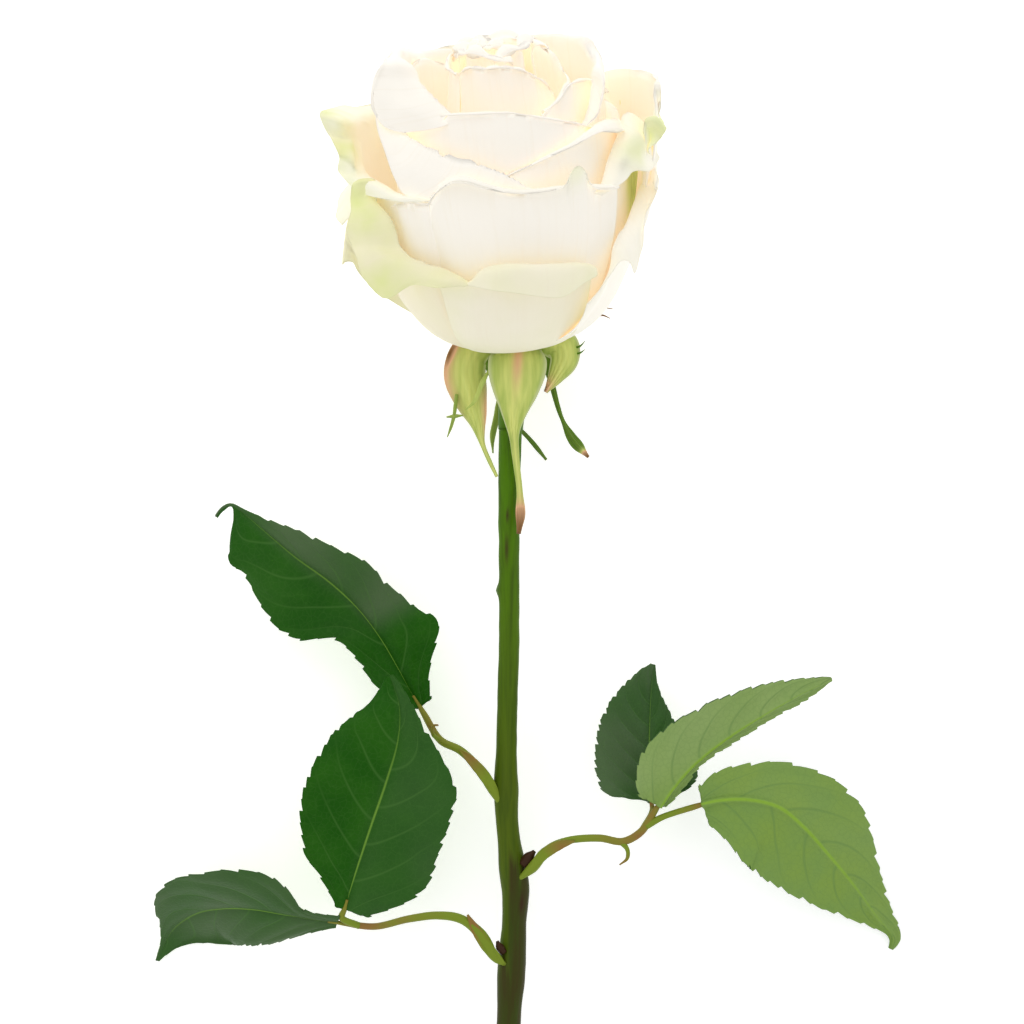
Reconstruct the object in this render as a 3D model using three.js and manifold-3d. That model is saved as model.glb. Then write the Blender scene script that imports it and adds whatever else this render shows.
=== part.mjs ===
// A cut rose lying on a table: a white bloom on its hip and sepals, a leafy stem and three leaves.
// Millimetres. The flower is built with the stem along +Y, the bloom at the +Y end and its front
// towards +Z. The whole is then pitched a little, so that it lies on the back of the bloom, the
// cut end of the stem and the tips of two leaves, with the table at z = 0.
import * as THREE from "three";
import { mergeVertices } from "three/addons/utils/BufferGeometryUtils.js";
import Module from "manifold-3d";

// Driving dimensions
const BLOOM_NOD = 20; // degrees that the bloom leans out of the stem's line, towards its front
const BLOOM_LEAN = 6; // degrees that the bloom leans to its left
const CUT_END_Y = -328; // with the bloom this gives a stem of the 400 mm grade
const STEM_RADIUS = 3;
const PETAL_THICKNESS = 0.8;
const BLADE_THICKNESS = 0.7;
const SEAT_GAP = 0.3; // clearance between pieces that grow on one another

// How the flower lies: pitch of the stem, and where the hip's top stands over the table
const LIE_PITCH = 3.23;
const LIE_PLACE = new THREE.Vector3(-1.2, 127.7, 22.0);

const COLOUR = {
  petal: 0xf6efe2,
  hip: 0x9fb55a,
  stem: 0x567a1c,
  stalk: 0x8a9a3e,
  leafTop: 0x1f5a1c,
  leafUnder: 0x7d9c58,
};

const wasm = await Module();
wasm.setup();

const radians = THREE.MathUtils.degToRad;
const smooth = THREE.MathUtils.smoothstep;
const mix = THREE.MathUtils.lerp;

// Value at t, from 0 to 1, of evenly spaced figures, eased between them.
function along(figures, t) {
  if (figures.length === 1) return figures[0];
  const place = Math.min(Math.max(t, 0), 1) * (figures.length - 1);
  const index = Math.min(Math.floor(place), figures.length - 2);
  return mix(figures[index], figures[index + 1], smooth(place - index, 0, 1));
}

// Value at t of evenly spaced figures, on a smooth curve through them all.
function through(figures, t) {
  const place = Math.min(Math.max(t, 0), 1) * (figures.length - 1);
  const index = Math.min(Math.floor(place), figures.length - 2);
  const [a, b, c, d] = [-1, 0, 1, 2].map(
    (k) => figures[Math.min(Math.max(index + k, 0), figures.length - 1)],
  );
  const x = place - index;
  return b + (x / 2) * (c - a + x * (2 * a - 5 * b + 4 * c - d + x * (3 * (b - c) + d - a)));
}

// Solids from geometry and back

function solidOf(geometry) {
  const bare = geometry.index ? geometry.toNonIndexed() : geometry.clone();
  bare.deleteAttribute("normal");
  bare.deleteAttribute("uv");
  const merged = mergeVertices(bare, 1e-4);
  const solid = new wasm.Manifold(
    new wasm.Mesh({
      numProp: 3,
      vertProperties: new Float32Array(merged.attributes.position.array),
      triVerts: new Uint32Array(merged.index.array),
    }),
  );
  if (solid.volume() < 0) throw new Error("a piece is inside out");
  return solid;
}

function geometryOf(solid) {
  const mesh = solid.getMesh();
  const places = new Float32Array(mesh.numVert * 3);
  for (let i = 0; i < mesh.numVert; i++) {
    const start = i * mesh.numProp;
    places.set(mesh.vertProperties.subarray(start, start + 3), i * 3);
  }
  return new THREE.BufferGeometry()
    .setAttribute("position", new THREE.BufferAttribute(places, 3))
    .setIndex(new THREE.BufferAttribute(mesh.triVerts, 1));
}

// Joins solids and keeps the one body that results: sealed hollows are filled, scraps dropped.
function fuse(solids) {
  const joined = wasm.Manifold.union(solids).simplify(0.01);
  const bodies = joined.decompose();
  return bodies.reduce((most, body) => (body.volume() > most.volume() ? body : most));
}

// A closed sheet of even thickness over surface(s, t), with s from -1 to 1 and t from 0 to 1.
// Both faces are split into triangles alike.
function sheet(surface, sPlaces, tPlaces, thickness) {
  const step = 1e-3;
  const columns = sPlaces.length;
  const rows = tPlaces.length;
  const places = [];
  for (const side of [1, -1]) {
    for (const t of tPlaces) {
      for (const s of sPlaces) {
        const middle = surface(s, t);
        const towards = t < 0.5 ? 1 : -1;
        const across = surface(s + step, t).sub(surface(s - step, t));
        const up = surface(s, t + towards * step).sub(middle).multiplyScalar(towards);
        const normal = across.cross(up).normalize();
        const half = typeof thickness === "function" ? thickness(s, t, side) : thickness / 2;
        places.push(middle.addScaledVector(normal, side * half));
      }
    }
  }
  const faces = [];
  const back = rows * columns;
  const at = (i, j) => j * columns + i;
  for (let j = 0; j < rows - 1; j++) {
    for (let i = 0; i < columns - 1; i++) {
      const [a, b, c, d] = [at(i, j), at(i + 1, j), at(i + 1, j + 1), at(i, j + 1)];
      faces.push([a, b, c], [a, c, d]);
      faces.push([a + back, c + back, b + back], [a + back, d + back, c + back]);
    }
  }
  const rim = [];
  for (let i = 0; i < columns - 1; i++) rim.push(at(i, 0));
  for (let j = 0; j < rows - 1; j++) rim.push(at(columns - 1, j));
  for (let i = columns - 1; i > 0; i--) rim.push(at(i, rows - 1));
  for (let j = rows - 1; j > 0; j--) rim.push(at(0, j));
  rim.forEach((a, k) => {
    const b = rim[(k + 1) % rim.length];
    faces.push([a, a + back, b + back], [a, b + back, b]);
  });
  const geometry = new THREE.BufferGeometry().setFromPoints(places);
  return solidOf(geometry.setIndex(faces.flat()));
}

// A round stalk along a smooth curve through the points, its radius eased along the figures.
function stalk(points, radii, sides, steps) {
  const curve = new THREE.CatmullRomCurve3(points.map((p) => new THREE.Vector3(...p)));
  const frames = curve.computeFrenetFrames(steps);
  const places = [];
  for (let j = 0; j <= steps; j++) {
    const middle = curve.getPointAt(j / steps);
    const radius = along(radii, j / steps);
    for (let i = 0; i < sides; i++) {
      const turn = (i / sides) * 2 * Math.PI;
      places.push(
        middle
          .clone()
          .addScaledVector(frames.normals[j], radius * Math.cos(turn))
          .addScaledVector(frames.binormals[j], radius * Math.sin(turn)),
      );
    }
  }
  const faces = [];
  for (let j = 0; j < steps; j++) {
    for (let i = 0; i < sides; i++) {
      const next = (i + 1) % sides;
      const [a, b] = [j * sides + i, j * sides + next];
      faces.push([a, b, b + sides], [a, b + sides, a + sides]);
    }
  }
  for (let i = 1; i < sides - 1; i++) {
    faces.push([0, i + 1, i]);
    faces.push([steps * sides, steps * sides + i, steps * sides + i + 1]);
  }
  const geometry = new THREE.BufferGeometry().setFromPoints(places);
  return solidOf(geometry.setIndex(faces.flat()));
}

// From the bloom's own frame to the flower's, and from the flower's to that of the table.
const bloomTurn = new THREE.Matrix4()
  .makeRotationZ(radians(BLOOM_LEAN))
  .multiply(new THREE.Matrix4().makeRotationX(radians(BLOOM_NOD)));
const flowerLie = new THREE.Matrix4()
  .makeTranslation(LIE_PLACE)
  .multiply(new THREE.Matrix4().makeRotationX(radians(LIE_PITCH)));

// The table, in the bloom's own frame: it flattens the back of the bloom where the flower rests.
function tableUnderBloom() {
  const table = new THREE.BoxGeometry(300, 600, 20).translate(0, 0, -10);
  const toBloom = flowerLie.clone().multiply(bloomTurn).invert();
  return solidOf(table.applyMatrix4(toBloom));
}

// Petals. In the bloom's own frame +Y is its axis and +Z its front. A petal leaves the receptacle
// at its azimuth, climbs up a bowl to its brim, and there its lip turns back outwards.
//   az      azimuth in degrees, 0 at the front and 90 to the right
//   brim    radius and height of the brim in the petal's middle
//   bowl    section of the wall, as shares of the brim's radius and height
//   wide    greatest half width
//   dip     how much lower the sides of the brim are, as a share of the wall, and how squarely
//   slant   lift of the brim for each millimetre to the right
//   lap     length of the lip at its left, middle and right
//   turn    how far the lip turns back at its left, middle and right, in degrees
//   tight   share of the lip over which it turns
//   open    radius of the level section against the distance from the axis
//   skew    how much the right side stands out from the axis and the left side in
//   edge    how far the left and right edges roll outwards
//   ruffle  height of the waves in the rim, their number and their phase
//   tip     extra length of the lip at its apex, and the apex's place from left to right
//   from    share of the wall that the core hides
const OPEN_BOWL = [[0.1, 0.1], [0.36, 0], [0.59, 0.16], [0.78, 0.46], [0.92, 0.78], [1, 1]];
const DEEP_BOWL = [[0.1, 0.05], [0.42, 0.03], [0.67, 0.13], [0.85, 0.38], [0.96, 0.72], [1, 1]];
const FLARED_BOWL = [[0.1, 0.05], [0.38, 0.03], [0.6, 0.13], [0.76, 0.38], [0.86, 0.72], [1, 1]];
const CUP_BOWL = [[0.14, 0.07], [0.5, 0.08], [0.8, 0.2], [0.95, 0.45], [1, 0.75], [0.98, 1]];

const PETAL = {
  az: 0, brim: [30, 50], bowl: DEEP_BOWL, wide: 25, dip: [0.2, 3], slant: 0, lap: [3, 6, 3],
  turn: [110, 110, 110], tight: 0.7, open: 1.04, skew: 0.05, edge: [0, 0], ruffle: [0.6, 2, 0],
  tip: [0, 0], from: 0,
};

const PETALS = [
  // outermost, with broad lips
  { name: "front_low", az: 5, brim: [32.6, 25], bowl: OPEN_BOWL, wide: 21, dip: [0.12, 3],
    lap: [6, 10, 5], turn: [150, 150, 130], tight: 0.5, ruffle: [0.7, 2.2, 1] },
  { name: "left_low", az: -57, brim: [33.4, 32], bowl: OPEN_BOWL, wide: 27, dip: [0.04, 3],
    slant: -0.44, lap: [14, 18, 3], turn: [110, 140, 140], tight: 0.55, ruffle: [1.2, 2.6, 0.6],
    tip: [4, 0] },
  { name: "right_low", az: 93, brim: [32.4, 41], bowl: OPEN_BOWL, wide: 26, dip: [0.1, 3],
    lap: [24, 14, 6], turn: [172, 150, 130], tight: 0.35, ruffle: [1, 2, 2] },
  { name: "back_right_low", az: 171, brim: [34, 34], bowl: OPEN_BOWL, wide: 27,
    lap: [6, 9, 6], turn: [150, 165, 150], tight: 0.6, ruffle: [0.3, 2, 0.5] },
  { name: "back_left_low", az: -128, brim: [33.6, 35], bowl: OPEN_BOWL, wide: 27,
    lap: [6, 12, 6], turn: [130, 145, 130], ruffle: [1, 2, 2.6], tip: [2, 0] },
  // second round
  { name: "front_second", az: 9, brim: [31, 44.5], from: 0.42, wide: 33, dip: [0.1, 4], slant: -0.08,
    lap: [1.5, 2, 4], turn: [80, 80, 130], ruffle: [1.1, 2.6, 3.6], skew: 0.02 },
  { name: "front_left_second", az: -63, brim: [31.8, 42], from: 0.42, wide: 23, dip: [0.08, 4],
    lap: [3, 2, 1.5], turn: [120, 90, 60], ruffle: [0.6, 2, 2] },
  { name: "left_second", az: -105, brim: [33, 53], from: 0.42, wide: 30, dip: [0.26, 2.2],
    lap: [6, 8, 3], turn: [100, 80, 130], tight: 0.5, ruffle: [1, 2, 0.4], tip: [6, 0.3] },
  { name: "right_second", az: 83, brim: [31.6, 46.5], from: 0.42, wide: 26, dip: [0.1, 3],
    lap: [8, 10, 6], turn: [150, 135, 100], tight: 0.5, ruffle: [1, 2, 1], tip: [5, 0.4] },
  { name: "right_back_second", az: 113, brim: [36.6, 54], bowl: FLARED_BOWL, from: 0.42, wide: 29, dip: [0.16, 3],
    lap: [4, 5, 5], turn: [60, 60, 80], ruffle: [0.8, 2, 2] },
  { name: "back_second", az: 172, brim: [31.5, 54], from: 0.42, wide: 28, lap: [4, 7, 4],
    turn: [100, 100, 100], ruffle: [0.9, 2, 0] },
  { name: "back_left_second", az: -142, brim: [31.5, 54], from: 0.42, wide: 27, lap: [4, 7, 4],
    turn: [100, 100, 100], ruffle: [0.9, 2, 2.4] },
  // third round
  { name: "front_left_third", az: -20, brim: [28, 51], from: 0.5, wide: 30, dip: [0.04, 3], slant: -0.4,
    lap: [22, 12, 3], turn: [140, 135, 110], tight: 0.4, ruffle: [0.5, 2, 1] },
  { name: "front_right_third", az: 46, brim: [27.5, 50], from: 0.5, wide: 28, dip: [0.08, 3], slant: 0.06,
    lap: [2, 3, 7], turn: [80, 110, 140], tight: 0.5, ruffle: [0.5, 2, 1.8] },
  { name: "right_third", az: 108, brim: [27.5, 54], from: 0.5, wide: 25, lap: [4, 4, 3],
    turn: [120, 80, 80], ruffle: [0.6, 2, 0] },
  { name: "back_right_third", az: 156, brim: [27, 62], from: 0.5, wide: 27, lap: [2, 4, 2],
    turn: [80, 80, 80], ruffle: [0.6, 2, 1] },
  { name: "back_left_third", az: -150, brim: [27, 62], from: 0.5, wide: 27, lap: [2, 4, 2],
    turn: [80, 80, 80], ruffle: [0.6, 2, 2] },
  { name: "left_third", az: -98, brim: [25, 65], from: 0.5, bowl: CUP_BOWL, wide: 29, dip: [0.05, 3],
    slant: -0.12, lap: [4, 12, 12], turn: [120, 145, 150], tight: 0.45, ruffle: [0.5, 2, 0.5] },
  // fourth round
  { name: "front_fourth", az: -5, brim: [22.5, 58.5], from: 0.6, bowl: CUP_BOWL, wide: 31, dip: [0.06, 3],
    lap: [1.5, 2, 1.5], turn: [50, 60, 50], ruffle: [0.3, 2, 0] },
  { name: "right_fourth", az: 60, brim: [22.3, 61], from: 0.6, bowl: CUP_BOWL, wide: 22, dip: [0.08, 3],
    slant: 0.15, lap: [1.5, 2, 1.5], turn: [60, 60, 60], ruffle: [0.4, 2, 1] },
  { name: "back_right_fourth", az: 117, brim: [23, 67.5], from: 0.6, bowl: CUP_BOWL, wide: 28,
    dip: [0.08, 3], lap: [13, 6, 2], turn: [165, 120, 80], tight: 0.45, ruffle: [0.5, 2, 2] },
  { name: "back_left_fourth", az: -158, brim: [21, 67.5], from: 0.6, bowl: CUP_BOWL, wide: 30,
    dip: [0.08, 3], lap: [2, 3, 2], turn: [60, 60, 60], ruffle: [0.5, 2, 1.4] },
  { name: "left_fourth", az: -52, brim: [20, 65], from: 0.6, bowl: CUP_BOWL, wide: 22, dip: [0.06, 3],
    slant: -0.25, lap: [1.5, 2, 1.5], turn: [60, 60, 60], ruffle: [0.4, 2, 2.2] },
];

// The bud at the heart: petals wound on each other, a golden angle apart and ever closer in.
const BUD_PETALS = 8;
const GOLDEN_ANGLE = 137.5;
for (let i = 0; i < BUD_PETALS; i++) {
  const inward = i / (BUD_PETALS - 1);
  PETALS.push({
    name: `bud_${i + 1}`,
    az: 6 + i * GOLDEN_ANGLE,
    brim: [mix(14.5, 4, inward), mix(68, 70.5, inward)],
    from: 0.72,
    bowl: CUP_BOWL,
    wide: mix(17, 6, inward),
    dip: [0.05, 3],
    lap: [2, 1.5, 2],
    turn: [70, 40, 70],
    open: 1.08,
    skew: 0.04,
    ruffle: [mix(0.4, 0.9, inward), 3, i * 2.1],
  });
}

const LIP_START = 0.72; // share of a petal's parameter that its wall takes up
const LIP_STEPS = 16;

function petalWidth(p, t) {
  const claw = 0.16; // half width at the base, as a share of the greatest
  const widest = 0.62;
  const shoulder = 0.5;
  const swell = Math.sin((Math.PI / 2) * Math.min(1, t / widest)) ** 0.8;
  const beyond = Math.max(0, (t - widest) / (1 - widest));
  return p.wide * mix(claw, 1, swell) * Math.sqrt(1 - shoulder * beyond ** 2);
}

function petalSurface(p) {
  const out = new THREE.Vector3(Math.sin(radians(p.az)), 0, Math.cos(radians(p.az)));
  const side = new THREE.Vector3(Math.cos(radians(p.az)), 0, -Math.sin(radians(p.az)));
  const wall = new THREE.SplineCurve(
    p.bowl.map(([r, h]) => new THREE.Vector2(r * p.brim[0], h * p.brim[1])),
  );
  return (s, t) => {
    const brimAt = 1 - p.dip[0] * Math.abs(s) ** p.dip[1];
    const wallShare = Math.min(t / LIP_START, 1) * brimAt;
    const place = wall.getPointAt(wallShare);
    const heading = wall.getTangentAt(wallShare);
    let angle = Math.atan2(heading.y, heading.x);
    const lipShare = Math.max(0, (t - LIP_START) / (1 - LIP_START));
    const apex = p.tip[0] * Math.exp(-(((s - p.tip[1]) / 0.22) ** 2));
    const lipLength = along(p.lap, (s + 1) / 2) + apex;
    const turn = radians(along(p.turn, (s + 1) / 2));
    const start = angle;
    const step = lipShare / LIP_STEPS;
    for (let k = 0; k < LIP_STEPS; k++) {
      angle = start - turn * smooth((k + 0.5) * step, 0, p.tight);
      place.x += Math.cos(angle) * step * lipLength;
      place.y += Math.sin(angle) * step * lipLength;
    }
    const across = s * petalWidth(p, t);
    const wallRadius = wall.getPointAt(wallShare).x;
    const bend = Math.max(wallRadius, 3) * p.open;
    const level = bend * Math.sin(across / bend);
    const inward = bend * (1 - Math.cos(across / bend));
    const rolled =
      (p.edge[0] * smooth(-s, 0.5, 1) ** 2 + p.edge[1] * smooth(s, 0.5, 1) ** 2) * t;
    const wave =
      p.ruffle[0] * smooth(t, 0.5, 1) * Math.sin(p.ruffle[1] * Math.PI * s + p.ruffle[2]);
    const distance = place.x - inward + p.skew * across + rolled + wave * Math.sin(angle);
    const rise = place.y + p.slant * across * smooth(t, 0, 0.8) - wave * Math.cos(angle);
    return new THREE.Vector3(0, rise, 0)
      .addScaledVector(out, distance)
      .addScaledVector(side, level);
  };
}

const places = (count, shape = (x) => x) =>
  Array.from({ length: count + 1 }, (_, i) => shape(i / count));

const PETAL_COLUMNS = 6;
const WALL_STEP = 0.25; // share of the wall for each row of faces
const LIP_STEP = 5; // millimetres of the lip for each row of faces

function petalSolid(given) {
  const p = { ...PETAL, ...given };
  const wallRows = Math.ceil((1 - p.from) / WALL_STEP);
  const lipRows = Math.min(3, Math.ceil(Math.max(...p.lap) / LIP_STEP));
  const rows = [
    ...places(wallRows, (x) => mix(p.from, 1, x) * LIP_START),
    ...places(lipRows, (x) => mix(LIP_START, 1, x)).slice(1),
  ];
  const columns = places(PETAL_COLUMNS, (x) => 2 * x - 1);
  return sheet(petalSurface(p), columns, rows, PETAL_THICKNESS);
}

// Egg-shaped heart that the inner petals stand in, with the flat base that sits on the hip.
function bloomCore() {
  const profile = [
    [0, -0.6], [4.6, -0.6], [13, 2.5], [21, 10], [26, 20], [28, 32], [26.6, 39], [21, 47],
    [16, 55], [10, 60], [0, 63],
  ].map((p) => new THREE.Vector2(...p));
  return solidOf(new THREE.LatheGeometry(profile, 16));
}

function bloomSolid() {
  return fuse([fuse([bloomCore(), ...PETALS.map(petalSolid)]).subtract(tableUnderBloom())]);
}

// Hollow that the hip and the sepals keep clear of, under the bloom's outer petals.
function bloomSeat() {
  const profile = [[0, -0.9], [11, -1.1], [16, 0], [21, 3.6], [26, 10], [0, 12]];
  const seat = new THREE.LatheGeometry(profile.map((p) => new THREE.Vector2(...p)), 24);
  return solidOf(seat.applyMatrix4(bloomTurn));
}

// Blades: leaflets and sepals. A blade follows its midrib, and its halves rise from it.
//   rib     points of the midrib, base to tip
//   wide    greatest half widths, to the left and the right of the way to the tip
//   outline half width along the midrib, as a share of the greatest; one list, or two for the sides
//   roll    turn of the upper face about the midrib along its length, in degrees from +Z
//   fold    degrees that each half rises from level towards the upper face
//   cup     how far the margins bend back down, as a share of the half width
//   wave    height, number and phase of the waves in the margin
//   teeth   teeth on a side, and their depth
const ribCurve = (rib) => new THREE.CatmullRomCurve3(rib.map((p) => new THREE.Vector3(...p)));

function bladeSurface(b) {
  const curve = ribCurve(b.rib);
  const up = new THREE.Vector3(0, 0, 1);
  return (s, t) => {
    const place = Math.min(Math.max(t, 0), 1);
    const middle = curve.getPointAt(place);
    const ahead = curve.getTangentAt(place);
    const face = up.clone().addScaledVector(ahead, -up.dot(ahead)).normalize();
    face.applyAxisAngle(ahead, radians(along(b.roll, place)));
    const right = new THREE.Vector3().crossVectors(ahead, face);
    const outline = outlineAt(b, s, place);
    const half = (s < 0 ? b.wide[0] : b.wide[1]) * outline;
    const reach = Math.abs(s) * half;
    const rise = radians(along(b.fold, place));
    const wave = b.wave[0] * Math.sin(b.wave[1] * Math.PI * place + b.wave[2] + (s < 0 ? 1.3 : 0));
    const lift = reach * Math.sin(rise) - b.cup * half * s * s + wave * s * s * outline;
    return middle
      .addScaledVector(right, Math.sign(s) * reach * Math.cos(rise))
      .addScaledVector(face, lift);
  };
}

function outlineAt(b, s, t) {
  const sides = Array.isArray(b.outline[0]) ? b.outline : [b.outline, b.outline];
  return through(s < 0 ? sides[0] : sides[1], t);
}

const LEAFLET_START = 0.035; // shares of the midrib where a leaflet's blade begins and ends
const LEAFLET_END = 0.985;

const BLADE = {
  wide: [15, 15], outline: [0.12, 0.6, 0.87, 0.98, 1, 0.95, 0.83, 0.65, 0.43, 0.2, 0.03],
  roll: [0], fold: [14], cup: 0.1, wave: [0.8, 3, 0], teeth: 10, depth: 0.9,
};

// A toothed leaflet, thicker along its midrib below.
function leafletSolid(given) {
  const b = { ...BLADE, ...given };
  const smoothSurface = bladeSurface(b);
  const rows = 2 * b.teeth;
  const toothed = (s, t) => {
    const margin = smooth(Math.abs(s), 0.75, 1);
    const phase = Math.cos(Math.PI * rows * Math.min(t / LEAFLET_END, 1));
    const bite = (b.depth * phase * margin * outlineAt(b, s, t)) / Math.max(...b.wide);
    return smoothSurface(s * (1 - bite), t);
  };
  return sheet(
    toothed,
    [-1, -0.55, 0, 0.55, 1],
    places(rows, (x) => mix(LEAFLET_START, LEAFLET_END, x)),
    (s, t, side) => {
      const rib = s === 0 && side < 0 ? 0.7 * (1 - t) : 0;
      return BLADE_THICKNESS / 2 + rib;
    },
  );
}

// Leaflets of the three leaves, with their midribs as they lie beside the stem.
const LEAFLETS = {
  low_left_side_leaflet: {
    rib: [[-41.3, -142.1, -1], [-48, -141, 0.5], [-55.6, -139.8, 1], [-63, -138.6, 0.4],
      [-70.4, -138.6, -2], [-77.6, -140.2, -5.6], [-83, -144, -9.6], [-85.8, -149.8, -13.1]],
    wide: [12, 13], roll: [-38, -42, -46, -44, -30], fold: [10], cup: 0.1, wave: [0.8, 4, 0.5],
    outline: [0.1, 0.42, 0.68, 0.88, 1, 1, 0.95, 0.84, 0.66, 0.38, 0.04],
  },
  low_left_top_leaflet: {
    rib: [[-41.2, -138.8, 0.5], [-38.4, -129, 3], [-34.6, -118, 5], [-31, -107, 6.4],
      [-28.6, -97, 7], [-28.8, -89, 6.6], [-31.4, -81.4, 5]],
    wide: [18.2, 18.8], roll: [0, 4, 6, -6, -18], fold: [10, 12, 16], wave: [0.8, 4, 0],
    outline: [0.2, 0.7, 0.9, 0.99, 1, 0.93, 0.8, 0.62, 0.42, 0.2, 0.03],
  },
  top_left_leaflet: {
    rib: [[-22, -92.4, -2], [-24.6, -86, -4], [-27.4, -79.4, -5], [-31, -73, -4.5], [-37, -66, -3],
      [-44.6, -60, -1], [-53.6, -54.4, 1], [-62, -49, 0], [-68, -45.4, -3.4], [-72, -45, -8.4]],
    wide: [13.5, 13.5], roll: [12, -14, -22, -20, -8], fold: [16, 18, 12], wave: [1.4, 4, 1.2],
    outline: [
      [0.1, 0.42, 0.5, 0.4, 0.62, 0.94, 1, 0.88, 0.66, 0.36, 0.03],
      [0.1, 0.5, 0.86, 1.08, 0.98, 0.86, 0.8, 0.68, 0.5, 0.26, 0.03],
    ],
  },
  right_back_leaflet: {
    rib: [[32.2, -113.6, 4], [31.6, -105, -0.5], [32, -96, -4.5], [32.4, -88, -7], [33.2, -79.6, -8]],
    wide: [14.5, 14.5], roll: [18, 20, 22], wave: [0.7, 3, 0.4],
  },
  right_middle_leaflet: {
    rib: [[34, -114.6, 7], [37.9, -108.7, 8.6], [42.9, -102.8, 9.4], [49.2, -97.2, 9.4],
      [58.3, -91.2, 8], [67.5, -86.4, 5], [76, -83, 1]],
    wide: [12, 12], roll: [214, 216, 212, 206], wave: [0.7, 3, 0],
    outline: [0.2, 0.62, 0.9, 1, 0.97, 0.88, 0.76, 0.6, 0.42, 0.22, 0.03],
  },
  right_end_leaflet: {
    rib: [[41.6, -113.4, 8], [47.6, -111.7, 9.6], [54.8, -111.4, 10], [62, -113.2, 9.4],
      [68, -117.4, 7.6], [74, -123.6, 4.4], [80.6, -131, -0.6], [86.4, -139, -7],
      [90.6, -147, -13.8]],
    wide: [14.5, 14], roll: [172, 176, 182, 186], fold: [10], wave: [0.8, 3, 0.8],
    outline: [0.16, 0.62, 0.88, 0.99, 1, 0.95, 0.84, 0.67, 0.45, 0.21, 0.03],
  },
};

// Stem

const STEM_LINE = [
  [-1.6, -24, 0.6], [-1.9, -40, 0.1], [-1.9, -56, 0], [-1.9, -74, 0], [-2.4, -93, 0.2],
  [-2.6, -108, 0.3], [-2.3, -118, 0.2], [-1.3, -127, 0], [-0.4, -134, -0.2], [-0.8, -144, -0.2],
  [-1.3, -153, 0], [-1.9, -164, 0.2], [-2.4, -182, 0.3], [-2.2, -206, 0.2], [-1.0, -228, 0],
  [0.2, -248, -0.2], [0.4, -272, -0.1], [-0.2, -300, 0], [-0.6, CUT_END_Y, 0],
];
const STEM_SIDES = 8;
const STEM_STEPS = 40;
const NODE_SWELLING = 0.75;
const STEM_NODES = [-110, -131, -153, -228, -284]; // where leaves grow or grew, along Y
const STEM_SCARS = [ // places, angles about the stem and sizes of the stubs of cut leaves and thorns
  { y: -228, turn: 150, reach: 3, size: 2.4 },
  { y: -284, turn: -20, reach: 3, size: 2.4 },
  { y: -252, turn: 70, reach: 2.2, size: 1.3 },
  { y: -196, turn: -120, reach: 2.2, size: 1.3 },
  { y: -62, turn: 250, reach: 1.6, size: 1.1 },
];
const AXIL_BUD = { line: [[0.6, -127.5, 1.6], [3.4, -124.2, 2.6]], radii: [1.5, 0.75] };

const stemCurve = new THREE.CatmullRomCurve3(STEM_LINE.map((p) => new THREE.Vector3(...p)));

function stemRadius(y) {
  const nodes = STEM_NODES.map((node) => NODE_SWELLING * Math.exp(-(((y - node) / 5) ** 2)));
  const thickening = 0.5 * smooth(-y, 90, 330);
  return STEM_RADIUS - 0.15 + thickening + Math.max(...nodes);
}

// Point and frame of the stem at a distance along Y, found by halving.
function stemAt(y) {
  let [near, far] = [0, 1];
  for (let k = 0; k < 30; k++) {
    const half = (near + far) / 2;
    if (stemCurve.getPointAt(half).y > y) near = half;
    else far = half;
  }
  return stemCurve.getPointAt((near + far) / 2);
}

function stemTube(extra) {
  const radii = places(STEM_STEPS, (x) => stemRadius(stemCurve.getPointAt(x).y) + extra);
  return stalk(STEM_LINE, radii, STEM_SIDES, STEM_STEPS);
}

function axilBud(extra) {
  return stalk(AXIL_BUD.line, AXIL_BUD.radii.map((r) => r + extra), 6, 3);
}

function stemSolid() {
  const stubs = STEM_SCARS.map((scar) => {
    const middle = stemAt(scar.y);
    const way = new THREE.Vector3(Math.sin(radians(scar.turn)), 0.35, Math.cos(radians(scar.turn)));
    const tip = middle.clone().addScaledVector(way, stemRadius(scar.y) + scar.reach * 0.4);
    return stalk([middle.toArray(), tip.toArray()], [scar.size * 1.3, scar.size], 6, 2);
  });
  return fuse([stemTube(0), axilBud(0), ...stubs]);
}

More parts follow.
